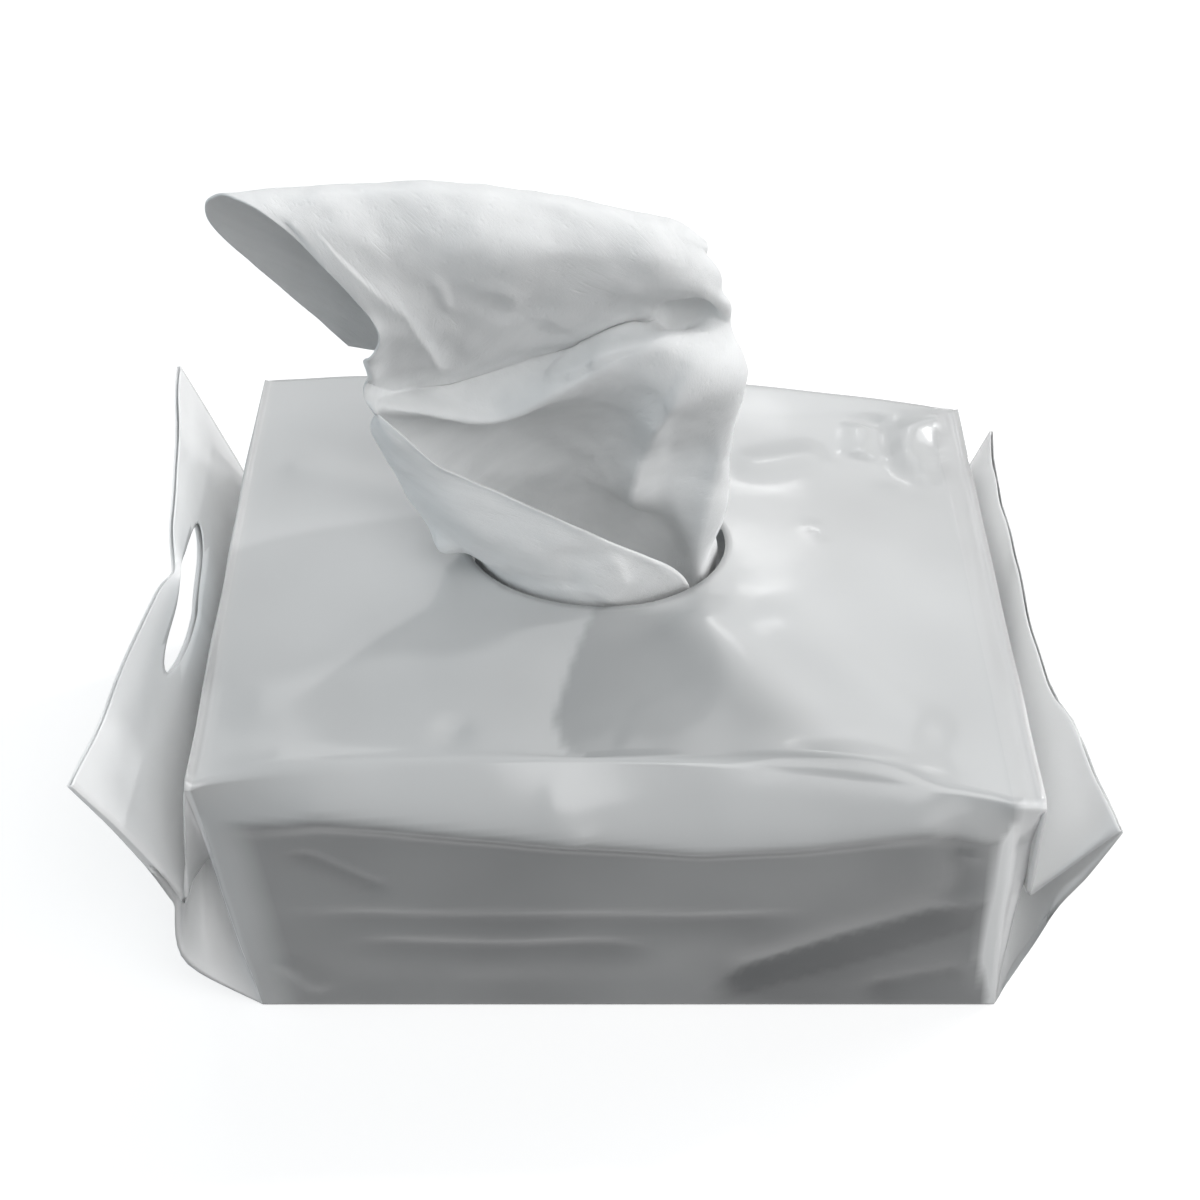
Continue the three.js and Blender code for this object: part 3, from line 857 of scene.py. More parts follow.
@dataclass
class FilmPouch:
    """The pouch: one film round the wipes, tucked in at both ends, with standing end fins.

    A field with lines in its name counts the mesh's steps. The hand hole is millimetres across the fin and
    shares of its height. The front's creases are given by place along the pack and height, and the back
    has them too.
    """

    panel: TopPanel
    left: EndFold
    right: EndFold
    # Milkiness of the film, with painted shade and painted light.
    veil: MilkAndPaintedShade = MilkAndPaintedShade()
    film: float = 0.16
    hole: float = 0.6
    hand_hole_half: Pair = (21.0, 0.12)
    hand_hole_middle: Pair = (0.5, 0.70)
    # Swelling of the long panels
    top_run: Pair = (-6.6, 1.2)
    run_in_power: float = 1.4
    crest: float = 4.8
    under_brow: Pair = (7.0, 2.4)
    brow_line: Line = ((-75, 69), (-54, 74), (-20, 71), (18, 66), (40, 67), (60, 69), (82, 62))
    foot_height: float = 42.0
    swell_power: float = 0.6
    # Steps of the mesh
    edge: float = 0.7
    edge_limit: float = 0.08
    margin: float = 1.2
    body_lines: tuple[int, int, int] = (28, 36, 30)
    end_lines: tuple[tuple[float, int], ...] = (
        (-0.66, 0), (0.0, 3), (0.12, 2), (0.6, 2), (4.0, 9), (8.0, 10),
    )
    foot_flap: float = 4.0 / 4.6
    left_fin_lines: tuple[int, int, int] = (10, 9, 7)
    right_fin_lines: int = 14
    fin_rims: Pair = (0.985, 0.97)
    front_lines: tuple[int, int] = (22, 24)
    back_lines: tuple[int, int] = (12, 14)
    base_lines: tuple[int, int, int] = (6, 22, 6)
    top_lines: tuple[int, int, int] = (34, 30, 24)
    # Slack, beads and the fins' edges
    slack: Ripples = Ripples(22, 16.0, 80.0, 1.6, 7)
    slack_share: float = 0.35
    slack_foot: float = 12.0
    slack_fin: float = 0.3
    sway: float = 0.8
    sway_run: float = 0.4
    left_beads: tuple[Triple, ...] = ((0.9, 0.0, 1.1),)
    right_beads: tuple[Triple, ...] = ((0.9, 0.0, 1.2), (0.55, -4.2, 1.1))
    bead_run: float = 0.1
    left_edge: FinEdge = FinEdge(((0.5, 5.5, 0.0),), back_rise=3.4)
    right_edge: FinEdge = FinEdge(((1.4, 7.0, 0.6), (0.7, 3.1, 0.0)), ((-3.0, 44.0, 5.0), (2.5, 52.0, 4.0)))
    edge_power: int = 3
    pinch: Pair = (1.0, 5.5)
    pinch_course: Line = ((0.55, 0.0), (0.7, 1.0), (0.82, 3.0), (1.0, -4.0))
    # Creases and dents of the top film
    top_border: Pair = (0.5, 7.0)
    crumple: Ripples = Ripples(14, 5.0, 22.0, 0.55, 12)
    crumple_middle: Pair = (71.0, 42.0)
    crumple_reach: float = 13.0
    top_creases: tuple[Crease, ...] = (
        Crease(
            ((-2, -12), (-7, -27), (-10, -40), (-7, -47), (0, -52), (18, -56)), -2.6,
            (9, 14), (16, 24), Profile.SHARP, (0.35, 0.5),
        ),
        Crease(((14, -12), (29, -33), (48, -55)), 2.2, (9, 12), (8, 12), Profile.SOFT, (0.1, 0.0)),
        fold(1.0, 7.0, (28, -9), (66, -46)),
        fold(0.5, 6.0, (-30, -9), (-72, -44)),
        fold(0.6, 5.0, (-31, 14), (-72, 30)),
        Crease(((62, 54), (64, 42), (72, 22)), -1.5, (2.5, 3.0), (8.0, 9.0), Profile.SHARP, (0.1, 0.4)),
        fold(1.3, 3.4, (59, 50), (57, 36)),
        fold(0.8, 4.0, (50, 38), (28, 30)),
        fold(0.4, 0.9, (43, 15), (47.5, 9.5), sharp=True),
        Crease(
            ((80, 55), (70, 48.5), (66, 38), (68, 31), (77, 31.5)), 1.7,
            (7.0, 6.0), (2.6, 2.6), Profile.SHARP, (0.05, 0.4),
        ),
        fold(0.4, 0.9, (-62, -48), (-58, -52.5), sharp=True),
        fold(0.9, 2.6, (-74, -53), (-40, -52), (-8, -52.5)),
        fold(0.6, 3.0, (22, -51), (66, -51)),
    )
    top_dents: tuple[Dent, ...] = (
        Dent((75.0, 42.0), (9.0, 11.0), 1.0),
        Dent((-29.0, -44.5), (5.5, 5.5), 0.9),
        Dent((40.0, -44.0), (13.0, 8.0), 0.8),
        Dent((-52.0, 40.0), (20.0, 16.0), -0.8),
    )
    # Creases of the long panels
    side_fade: float = 0.06
    side_foot: Pair = (0.5, 6.0)
    side_brow: Pair = (66.0, 76.0)
    brow_calm: float = 0.6
    front_creases: tuple[Crease, ...] = (
        Crease(((-70, 38), (-10, 39), (48, 37.5)), -1.0, (2.2, 2.2), (7.0, 7.0)),
        Crease(((-56, 27), (14, 26.5)), -1.0, (2.2, 2.2), (6.0, 6.0)),
        Crease(((21, 8), (50, 27), (76, 43)), -2.6, (11, 11), (7.0, 10.0), Profile.SHARP, (0.2, 0.2)),
        Crease(((54, 6), (78, 15)), -1.0, (4, 4), (6.0, 6.0), Profile.SHARP),
        fold(-0.9, 3.4, (64, 73), (69, 56), (71, 42)),
        fold(0.9, 1.3, (75, 62), (78.6, 20), (82, 6), sharp=True),
        fold(1.0, 1.6, (68, 61), (77, 58), sharp=True),
        fold(-0.9, 3.0, (-62, 62), (-42, 47)),
        fold(0.6, 3.0, (-12, 78), (-4, 68)),
        fold(0.7, 3.0, (-68, 22), (-60, 6)),
    )

    @property
    def half(self) -> float:
        """Half of the pouch's depth."""
        return self.panel.depth / 2.0

    @property
    def hand_hole_span(self) -> Pair:
        """Shares of the left fin at the hand hole's lower and upper side."""
        middle, half = self.hand_hole_middle[1], self.hand_hole_half[1]
        return middle - half, middle + half

    def end_stations(self, end: EndFold, fin_lines: Array) -> Stations:
        """Sections of one end, from just outside the body to the fin's edge.

        The course runs from -1 at the body over 0 at the crease and 4 at the gusset's foot to 8, where the
        fin begins, and 12 at its edge. The film turns up in the valley between 4 and 8. The gusset is as deep
        as the panel's height allows: half the root of the height squared less the films' gap squared.

        Args:
            end: The end's sizes.
            fin_lines: Shares of the fin at which it has sections.

        Returns:
            The sections, outwards.
        """
        at_body, at_crease, at_foot, at_fin, at_edge = -1.0, 0.0, 4.0, 8.0, 12.0
        turning = (5.0, 6.0, 7.0)
        keys = (at_body, at_crease, at_foot, *turning, at_fin, at_edge)
        turned = end.turned
        climb = lerp(at_fin, at_edge, (fin_lines - turned) / (1.0 - turned))
        course = np.concatenate([lines_between(*self.end_lines), climb[1:]])
        start = np.array([end.crease[0] - end.out * end.tuck, end.crease[1]])
        crease, valley = np.array(end.crease), np.array(end.valley)
        height = np.linalg.norm(start - np.array(end.base))
        crease_share = end.tuck / (end.tuck + np.linalg.norm(valley - crease))
        flap = np.interp(course, keys, [0.0, 0.0, self.foot_flap, 1.0, 1.0, 1.0, 1.0, 1.0])
        fin = np.interp(course, keys, [0.0] * 4 + [end.valley_turn, 2.0 * end.valley_turn, turned, 1.0])
        outer = np.interp(course, [turning[-1], at_fin, at_edge], [0.0, turned, 1.0])
        closing = [lerp(end.foot, 1.0, step / 3.0) for step in (1, 2)]
        share = np.interp(course, keys, [0.0, end.foot * crease_share, end.foot, *closing, 1.0, 1.0, 1.0])
        inward = np.clip(-course, 0.0, 1.0)[:, None]
        top = lerp(lerp(crease, valley, flap[:, None]), start, inward)
        top += (end.on_fin(fin) - valley) * (fin > 0.0)[:, None]
        on_fin = (course > turning[-1])[:, None]
        bottom = np.where(on_fin, end.outside_fin(outer), end.rising_film(share))
        spare = (height / 2.0) ** 2 - (np.linalg.norm(top - bottom, axis=1) / 2.0) ** 2
        shut = np.clip(1.0 - (fin - turned) / (end.gusset_run - turned), 0.0, 1.0)
        gusset = np.sqrt(np.maximum(spare, 0.0)) * shut * end.gusset_depth
        fold_share = lerp(end.fold_start, 0.5, flap)
        out = np.full(course.shape, end.out)
        return Stations(top, bottom, gusset, fold_share, flap, fin, outer, out, np.full(course.shape, np.nan))

    def body_stations(self) -> Stations:
        """Sections of the body, evenly spaced on either side of the oval and over it.

        Returns:
            The sections, from left to right.
        """
        middle, half = self.panel.oval_middle[0], self.panel.oval_half[0]
        first, last = self.panel.left + self.left.tuck, self.panel.right - self.right.tuck
        before, over, after = self.body_lines
        x = lines_between(
            (first, 0), (first + self.margin, 1), (middle - half, before), (middle + half, over),
            (last - self.margin, after), (last, 1),
        )
        share = (x - first) / (last - first)
        none = np.zeros_like(x)
        top = np.stack([x, none], axis=1)
        bottom = np.stack([lerp(self.left.base[0], self.right.base[0], share), none], axis=1)
        fold_share = lerp(self.left.fold_start, self.right.fold_start, share)
        return Stations(top, bottom, none, fold_share, none, none, none, none, share)

    def stations(self) -> Stations:
        """All sections, from the left fin's edge to the right fin's edge.

        Returns:
            The sections in order.
        """
        low, high = self.hand_hole_span
        below, beside, above = self.left_fin_lines
        left_rim, right_rim = self.fin_rims
        left_fin = lines_between(
            (self.left.turned, 0), (low, below), (high, beside), (left_rim, above), (1.0, 1)
        )
        right_fin = lines_between((self.right.turned, 0), (right_rim, self.right_fin_lines), (1.0, 1))
        left = self.end_stations(self.left, left_fin).reversed()
        return Stations.chain(left, self.body_stations(), self.end_stations(self.right, right_fin))

    def brow(self, x: Array) -> Array:
        """Height of the brow, where a long panel stands furthest out."""
        return read_off(self.brow_line, x)

    def swell(self, x: Array, z: Array, share: Array, top_run: float) -> Array:
        """How far a long panel stands out.

        It is furthest out at the brow. Above, it runs in to the top edge in a power curve. Below, it steps
        back under the brow and then eases to nothing at the base.

        Args:
            x: Place along the pack.
            z: Height.
            share: Share of the body's length, not a number outside the body.
            top_run: Distance out at the top edge.

        Returns:
            The distance out of the panel's plane, in millimetres.
        """
        fade = np.sin(np.pi * np.nan_to_num(np.clip(share, 0.0, 1.0))) ** self.swell_power
        brow = self.brow(x)
        top = self.panel.height(x, np.zeros_like(x))
        drop, step = self.under_brow
        run_in = (top_run - self.crest) * np.clip((z - brow) / (top - brow), 0.0, 1.0) ** self.run_in_power
        below = (self.crest - step * ease(brow - z, 0.0, drop)) * ease(z, 0.0, self.foot_height)
        return fade * (below + run_in)

    def shares_down(self, stations: Stations, steps: tuple[int, int]) -> Array:
        """Shares down a side panel at each section, with a line on the gusset's inner fold.

        Args:
            stations: The sections.
            steps: Lines above and below the inner fold.

        Returns:
            Shares from 0 on the top film to 1 on the bottom film, by section and step.
        """
        reach = np.where(
            stations.out == 0.0,
            self.panel.height(stations.top[:, 0], np.zeros_like(stations.share)),
            np.linalg.norm(stations.top - stations.bottom, axis=1),
        )
        edge = np.minimum(self.edge / reach, self.edge_limit)[:, None]
        above = np.linspace(0.0, 1.0, steps[0])[None, :]
        below = np.linspace(0.0, 1.0, steps[1])[None, 1:]
        inner = lerp(edge, 1.0 - edge, stations.fold[:, None])
        upper, lower = lerp(edge, inner, above), lerp(inner, 1.0 - edge, below)
        return np.concatenate([np.zeros_like(edge), upper, lower, np.ones_like(edge)], axis=1)

    def tucked(self, stations: Stations, down: Array) -> Array:
        """How far the gusset draws a side panel in: a tent over its height, deepest at the inner fold.

        Args:
            stations: The sections.
            down: Shares down the panel.

        Returns:
            The distance in, in millimetres.
        """
        deepest = stations.fold[:, None]
        tent = np.minimum(down / deepest, (1.0 - down) / (1.0 - deepest))
        return stations.gusset[:, None] * np.clip(tent, 0.0, 1.0)

    def top_relief(self, x: Array, y: Array) -> Array:
        """Creases, dents and the crumpled corner of the top film, dying out at its front and back edges.

        Args:
            x: Place along the pack.
            y: Place across the pack.

        Returns:
            The height over the smooth panel.
        """
        height = sum(crease.on_panel(x, y) for crease in self.top_creases)
        height = height + sum(dent.relief(x, y) for dent in self.top_dents)
        away = np.hypot(x - self.crumple_middle[0], y - self.crumple_middle[1])
        waves = self.crumple.relief(np.stack([x, y, np.zeros_like(x)], axis=-1))
        height = height + bell(away, 0.0, self.crumple_reach) * waves
        return height * ease(self.half - np.abs(y), *self.top_border)

    def skin(self, stations: Stations) -> Skin:
        """The ring round each section: down the front, back over the base, up the back, forward on top.

        The lines round the oval and the hand hole, which is in both films of the left fin, are bent to fit.

        Args:
            stations: The sections.

        Returns:
            The ring places.
        """
        ones = np.ones((len(stations.out), 1))
        front_down = self.shares_down(stations, self.front_lines)
        back_down = self.shares_down(stations, self.back_lines)[:, ::-1]
        inset = np.where(stations.out > 0.0, self.right.back_inset * stations.fin, 0.0)[:, None]
        front_y, back_y = -self.half * ones, self.half * ones - inset
        top_z = self.panel.height(stations.top[:, :1], 0.0 * ones)

        def side(down: Array, top_run: float) -> Array:
            """Swelling of a side panel at the given shares down, with its own run at the top edge."""
            x = lerp(stations.top[:, :1], stations.bottom[:, :1], down)
            return self.swell(x, top_z * (1.0 - down), stations.share[:, None], top_run)

        front_run, back_run = self.top_run
        top_front = front_y - side(0.0 * ones, front_run)
        top_back = back_y + side(0.0 * ones, back_run)
        front = front_y + self.tucked(stations, front_down) - side(front_down, front_run)
        back = back_y - self.tucked(stations, back_down) + side(back_down, back_run)
        oval_y, oval_half = self.panel.oval_middle[1], self.panel.oval_half[1]
        hand_y, hand_half = self.hand_hole_middle[0], self.hand_hole_half[0]
        hand_near, hand_far = (hand_y - hand_half) * ones, (hand_y + hand_half) * ones
        flap = stations.flap[:, None]
        near = lerp(oval_y - oval_half, hand_near, flap)
        far = lerp(oval_y + oval_half, hand_far, flap)
        base = lines_across((front_y, hand_near, hand_far, back_y), self.base_lines)
        top = lines_across((top_back, far, near, top_front), self.top_lines)
        y = np.concatenate([front, base, back, top], axis=1)
        down = np.concatenate([front_down, np.ones_like(base), back_down, np.zeros_like(top)], axis=1)
        counts = tuple(part.shape[1] for part in (front, base, back, top))
        strip = np.repeat(np.arange(len(Strip)), counts)[None, :]

        per_section = stations.top[:, 0], stations.fin, stations.outer, stations.out
        x, inner, outer, out = (np.repeat(values[:, None], y.shape[1], axis=1) for values in per_section)
        on_top = (strip == Strip.TOP) & (out == 0.0)
        oval = round_hole(x, y, self.panel.oval_middle, self.panel.oval_half, self.hole)
        x, y = (np.where(on_top, bent, straight) for bent, straight in zip(oval, (x, y)))
        hand = round_hole(y, inner, self.hand_hole_middle, self.hand_hole_half, self.hole)
        in_block = np.abs(inner - self.hand_hole_middle[1]) < self.hand_hole_half[1] / self.hole
        on_films = ((strip == Strip.BASE) | (strip == Strip.TOP)) & (out < 0.0) & in_block
        y, fin = (np.where(on_films, bent, straight) for bent, straight in zip(hand, (y, inner)))
        return Skin(x, y, down, fin, outer + fin - inner, strip, counts)

    def surface(self) -> tuple[Array, Array, Array, Array, Array]:
        """The pouch's skin as one grid: sections along the pack, and a closed ring round each.

        A point lies the given share of the way down from the top film to the bottom film.

        Returns:
            Points by section and ring place, faces that are left after the cuts, which of them are at the
            ends, flat coordinates and the film's milkiness with its painted shade and light.
        """
        stations = self.stations()
        skin = self.skin(stations)
        points = self.worked(stations, skin, self.place(stations, skin))
        faces, at_end = self.cut_faces(stations, skin.counts)
        flat = np.stack([run_length(points, 0), run_length(points, 1)], axis=-1)
        return points, faces, at_end, flat, self.veil_over(stations, skin, points)

    def veil_over(self, stations: Stations, skin: Skin, points: Array) -> Array:
        """The film's milkiness, with its painted shade and light, over the whole skin. The base and the back
        cling.

        Args:
            stations: The sections.
            skin: The ring places.
            points: The finished points.

        Returns:
            The veil at each point.
        """
        x, z = points[..., 0], points[..., 2]
        valleys = sum(np.clip(-crease.on_panel(x, z), 0.0, 1.0) for crease in self.front_creases)
        front = self.veil.on_front(x, z, z - self.brow(x), valleys)
        top, clinging = self.veil.on_top(skin.x, skin.y), self.veil.clinging
        body = np.choose(skin.strip, (front, clinging, clinging, top))
        ends = self.veil.at_end(stations.flap[:, None], skin.strip == Strip.TOP)
        return np.where(stations.out[:, None] == 0.0, body, ends)

    def place(self, stations: Stations, skin: Skin) -> Array:
        """Points of the smooth skin: between the top and bottom film, with the fins leaning by their bow.

        Args:
            stations: The sections.
            skin: The ring places.

        Returns:
            The points.
        """
        body_z = self.panel.height(skin.x, skin.y)
        lean = np.zeros_like(skin.y)
        top_x, top_z = skin.x, body_z
        low_x, low_z = (np.repeat(values[:, None], skin.y.shape[1], axis=1) for values in stations.bottom.T)
        for end in (self.left, self.right):
            here = (stations.out == end.out)[:, None]
            upright, on_outer = here & (skin.fin > 0.0), here & (skin.outer > 0.0)
            inside, beyond = end.on_fin(skin.fin), end.outside_fin(skin.outer)
            lift = (body_z - end.crease[1]) * (1.0 - stations.flap[:, None])
            top_x = np.where(upright, inside[..., 0], top_x)
            top_z = np.where(upright, inside[..., 1], np.where(here, stations.top[:, 1:] + lift, top_z))
            low_x = np.where(on_outer, beyond[..., 0], low_x)
            low_z = np.where(on_outer, beyond[..., 1], low_z)
            lean = np.where(here, end.out * end.lean(skin.y, self.half) * skin.fin, lean)
        x, z = lerp(top_x, low_x, skin.down), lerp(top_z, low_z, skin.down)
        return np.stack([x - lean, skin.y, z], axis=-1)

    def worked(self, stations: Stations, skin: Skin, points: Array) -> Array:
        """The skin with its creases, beads, slack and uneven fin edges.

        Creases and slack go along the skin's normals. The end creases get beads, the fins sway along the
        pack, and their edges rise and dip.

        Args:
            stations: The sections.
            skin: The ring places.
            points: The smooth skin's points.

        Returns:
            The finished points.
        """
        normal = -grid_normals(points, ring=True)
        x, z = points[..., 0], points[..., 2]
        y, fin, strip = skin.y, skin.fin, skin.strip
        share, flap, out = (a[:, None] for a in (np.nan_to_num(stations.share), stations.flap, stations.out))
        body, top = out == 0.0, strip == Strip.TOP
        long_side = body & ((strip == Strip.FRONT) | (strip == Strip.BACK))
        fade = ease(share, 0.0, self.side_fade) * (1.0 - ease(share, 1.0 - self.side_fade, 1.0))
        calm = ease(z, *self.side_foot) * (1.0 - self.brow_calm * ease(z, *self.side_brow))
        creases = sum(crease.on_panel(x, z) for crease in self.front_creases)
        height = np.where(body & top, self.top_relief(skin.x, y), 0.0)
        height = height + np.where(long_side, creases * fade * calm, 0.0)
        loose = np.where(body, strip != Strip.BASE, 1.0 - ease(fin, 0.0, self.slack_fin))
        height = height + self.slack_share * loose * ease(z, 0.0, self.slack_foot) * self.slack.relief(points)
        worked = points + normal * height[..., None]

        sheet = np.stack([np.zeros_like(y), y, z], axis=-1)
        worked[..., 0] += self.sway * ease(fin, 0.0, self.sway_run) * self.slack.relief(sheet)
        left_bead = bell_row(skin.x - self.panel.left, self.left_beads)
        bead = left_bead + bell_row(skin.x - self.panel.right, self.right_beads)
        worked[..., 2] += np.where(top, bead * (1.0 - ease(flap, 0.0, self.bead_run)), 0.0)
        pinch = bell(y, *self.pinch) * read_off(self.pinch_course, fin)
        up = fin**self.edge_power
        left_rise, right_rise = self.left_edge.height(y) * up + pinch, self.right_edge.height(y) * up
        worked[..., 2] += np.where(out < 0.0, left_rise, np.where(out > 0.0, right_rise, 0.0))
        return worked

    def cut_faces(self, stations: Stations, counts: tuple[int, ...]) -> tuple[Array, Array]:
        """Faces of the skin without those in the oval and in the hand hole.

        Args:
            stations: The sections.
            counts: Ring places on the front, base, back and top.

        Returns:
            Four point numbers a face, and whether the face is outside the body.
        """
        faces = grid_faces(len(stations.out), sum(counts), ring=True)
        start = np.concatenate([[0], np.cumsum(counts)])
        keep = np.ones(faces.shape[:2], dtype=bool)
        middle = (stations.top[1:, 0] + stations.top[:-1, 0]) / 2.0
        on_body = (stations.out[1:] == 0.0) & (stations.out[:-1] == 0.0)
        in_oval = on_body & (np.abs(middle - self.panel.oval_middle[0]) < self.panel.oval_half[0])
        fin = (stations.fin[1:] + stations.fin[:-1]) / 2.0
        low, high = self.hand_hole_span
        in_hand = (stations.out[1:] < 0.0) & (fin > low) & (fin < high)
        cuts = (
            (in_oval, Strip.TOP, self.top_lines),
            (in_hand, Strip.TOP, self.top_lines),
            (in_hand, Strip.BASE, self.base_lines),
        )
        for rows, strip, (before, across, _) in cuts:
            first = start[strip] + before - 1
            keep[np.ix_(rows, np.arange(first, first + across))] = False
        at_end = np.repeat(~on_body[:, None], faces.shape[1], axis=1)
        return faces[keep], at_end[keep]

    def build(self, film: bpy.types.Material, end_film: bpy.types.Material) -> bpy.types.Object:
        """Makes the pouch and dresses it in its film.

        Args:
            film: The film's material over the wipes.
            end_film: Its material at the two ends.

        Returns:
            The pouch.
        """
        points, faces, at_end, flat, veil = self.surface()
        piece = mesh_piece(
            "pouch_film", points.reshape(-1, 3), faces[:, ::-1], flat.reshape(-1, 2), veil.reshape(-1)
        )
        thicken(piece, self.film, -1.0)
        piece.data.materials.append(film)
        piece.data.materials.append(end_film)
        piece.data.polygons.foreach_set("material_index", at_end.astype(np.int32))
        return piece


@dataclass
class DrawnWipe:
    """The top wipe, drawn up through the oval: a net of fold lines from its left edge to its right edge.

    On each line the points are the left edge, two on the near wall, the left fold, three on the far wall,
    the right fold and the right edge. The lines in the oval are in shares of its half sizes. The others
    are in hundredths of the wipe's rise, from the oval's middle at the film's height.
    """

    panel: TopPanel
    rise: float = 88.0
    rim_gap: float = 1.0
    foot: float = 69.2
    cloth: float = 0.45
    row_steps: int = 15
    column_steps: int = 20
    valley_line: int = 6
    free_heights: Pair = (80.0, 92.0)
    own_lines: Pair = (0.4, 1.4)
    own_places: Pair = (1.0, 2.0)
    crumples: tuple[Ripples, ...] = (Ripples(24, 14.0, 46.0, 0.9, 21), Ripples(40, 3.5, 11.0, 0.22, 5))
    folds: tuple[Crease, ...] = (
        Crease(
            ((5.4, 6.25), (4.07, 5.9), (2.7, 5.78), (1.4, 5.8)), 7.5,
            (12.0, 4.0), (4.0, 11.0), Profile.SHARP, (0.15, 0.2),
        ),
        Crease(
            ((9.2, 0.9), (8.2, 1.65), (7.5, 2.45), (6.3, 3.95)), 2.2,
            (2.0, 2.0), (6.0, 6.0), Profile.SHARP,
        ),
        fold(1.0, 1.0, (8.1, 0.4), (9.0, 0.4), (10.7, 0.4), sharp=True),
        fold(-0.9, 0.9, (8.1, 0.25), (9.0, 0.25), (10.7, 0.25), sharp=True),
        fold(-5.0, 3.0, (6.9, 6.6), (6.4, 6.2), (6.2, 5.7)),
        Crease(((1.8, 0.2), (1.3, 0.55), (0.93, 0.95)), -1.3, (6.0, 9.0), (1.5, 2.0), Profile.SHARP),
        fold(-0.8, 1.0, (4.0, 0.05), (3.1, 0.05), (2.2, 0.05), (1.5, 0.05), (0.95, 0.05), sharp=True),
        fold(-0.9, 5.0, (2.8, 1.2), (1.2, 2.0)),
        fold(0.9, 4.0, (2.0, 0.6), (1.2, 1.2)),
        fold(-3.0, 3.0, (2.0, 2.55), (1.4, 2.85)),
        fold(1.5, 1.2, (5.4, 7.1), (3.9, 7.2), (2.6, 7.2), (1.1, 7.1), sharp=True),
        fold(1.0, 5.0, (9.6, 6.4), (8.3, 5.3), (7.2, 4.8)),
        fold(2.2, 2.2, (8.2, 0.1), (7.2, 0.2), (6.6, 0.35), (5.6, 0.3)),
        fold(0.6, 1.2, (8.7, 3.55), (8.5, 3.75), (8.2, 3.7)),
        fold(0.6, 1.4, (8.6, 4.45), (8.3, 4.6), (8.1, 4.5)),
    )
    in_oval: Line = (
        (0.72, -0.68), (0, -1), (-0.72, -0.68), (-1, 0), (-0.66, 0.5),
        (0, 0.5), (0.58, 0.08), (0.82, -0.52), (0.97, -0.05),
    )
    fold_lines: tuple[tuple[Triple, ...], ...] = (
        ((1, -18, 19.5), (-10, -20, 18), (-24, -18, 16.5), (-39, -7, 12.5), (-27.5, 4.5, 13.5),
         (-2.5, 10, 13.5), (15, 2, 10), (25, -8, 8), (25, 3, 9)),
        ((-32, -13.5, 36.5), (-37.5, -13, 36), (-42.5, -11, 35), (-46.5, -6, 34), (-34, 3.5, 30.5),
         (-7, 8, 29.5), (16, 4.5, 27.5), (28, 0, 26), (20.5, 11.5, 26)),
        ((-42, -12, 45.5), (-44.5, -11.5, 44.5), (-46.5, -9.5, 44), (-48.5, -7, 42.5), (-35, 0.5, 38),
         (-7, 4, 38.5), (16, 1.5, 42), (29, 0.5, 37.5), (21.5, 12, 37.5)),
        ((-49, -7, 49.5), (-47.5, -7.5, 49), (-46.5, -7.5, 48.5), (-45, -7, 47.5), (-22.5, -5, 42),
         (-7.5, -5.5, 51), (11.5, -4.5, 61.5), (29.5, 1, 49), (22.5, 12.5, 49)),
        ((-49.5, -5.5, 54.5), (-47, -3, 50), (-44, 0, 46), (-40.5, 2.5, 44.5), (-33, 4, 45),
         (-8, 6, 52.5), (20, 7.5, 61.5), (28.5, 7, 60), (26, 12.5, 59)),
        ((-48.5, -5, 61.5), (-44, -4, 59), (-38.5, -2.5, 57.5), (-34, -0.5, 56), (-27.5, 0, 56),
         (-7.5, 1.5, 60), (18, 3.5, 68), (28, 6, 65), (25, 12, 62.5)),
        ((-44.5, -9.5, 71), (-41, -8, 70.5), (-37.5, -6, 70), (-34, -4.5, 69), (-27.5, -2.5, 68),
         (-7.5, -1, 69.5), (17, 0, 75), (26, 7, 68), (24, 11.5, 66)),
        ((-61, -9, 96), (-53, -8.5, 94), (-45.5, -8, 91.5), (-40, -7, 89), (-30.5, -5.5, 87.5),
         (-7, -3.5, 85), (17, 1.5, 79.5), (25, 8, 71.5), (22.5, 11.5, 69.5)),
        ((-71, -4.5, 99), (-61.5, -3.5, 99), (-52.5, -2.5, 98.5), (-45.5, -1, 97.5), (-34, 0.5, 96),
         (-7, 3.5, 91), (11.5, 5.5, 85), (19.5, 7.5, 80), (22.5, 9.5, 76.5)),
        ((-76.5, 0.5, 94.5), (-66.5, 1, 96), (-57, 2.5, 96.5), (-49, 3.5, 96.5), (-35, 5, 96),
         (-7, 7.5, 91), (11.5, 9, 84.5), (19, 10, 80), (22.5, 12, 76)),
        ((-77.5, 4, 87.5), (-68, 5, 90), (-59, 6, 92), (-50, 7.5, 93), (-36.5, 9, 93),
         (-7, 11.5, 88), (11.5, 12.5, 82), (18, 13, 78), (22.5, 13.5, 74.5)),
        ((-67, 8.5, 68), (-59, 10, 70), (-51, 12.5, 71.5), (-44.5, 14, 72.5), (-33, 16.5, 72),
         (-7, 19.5, 69.5), (11.5, 19, 66), (18, 18, 63.5), (23.5, 17, 61)),
        ((-55, 13.5, 47.5), (-49.5, 16, 44.5), (-44, 17.5, 41.5), (-38, 19.5, 38.5), (-28.5, 21, 35),
         (-4.5, 24, 32), (11.5, 22.5, 32), (19, 21.5, 32.5), (24.5, 19, 35)),
    )

    def net(self) -> Array:
        """Control points of the wipe by line and place, in the part's frame.

        Returns:
            The points, with two lines in the oval and the fold lines above them.
        """
        middle = np.array(self.panel.oval_middle)
        film = float(self.panel.height(*middle))
        half = np.array(self.panel.oval_half) - self.rim_gap - self.cloth / 2.0
        ring = middle + np.array(self.in_oval) * half
        levels = [np.column_stack([ring, np.full(len(ring), z)]) for z in (self.foot, film)]
        origin = np.array([*middle, film])
        above = origin + np.array(self.fold_lines) * self.rise / 100.0
        return np.concatenate([np.stack(levels), above])

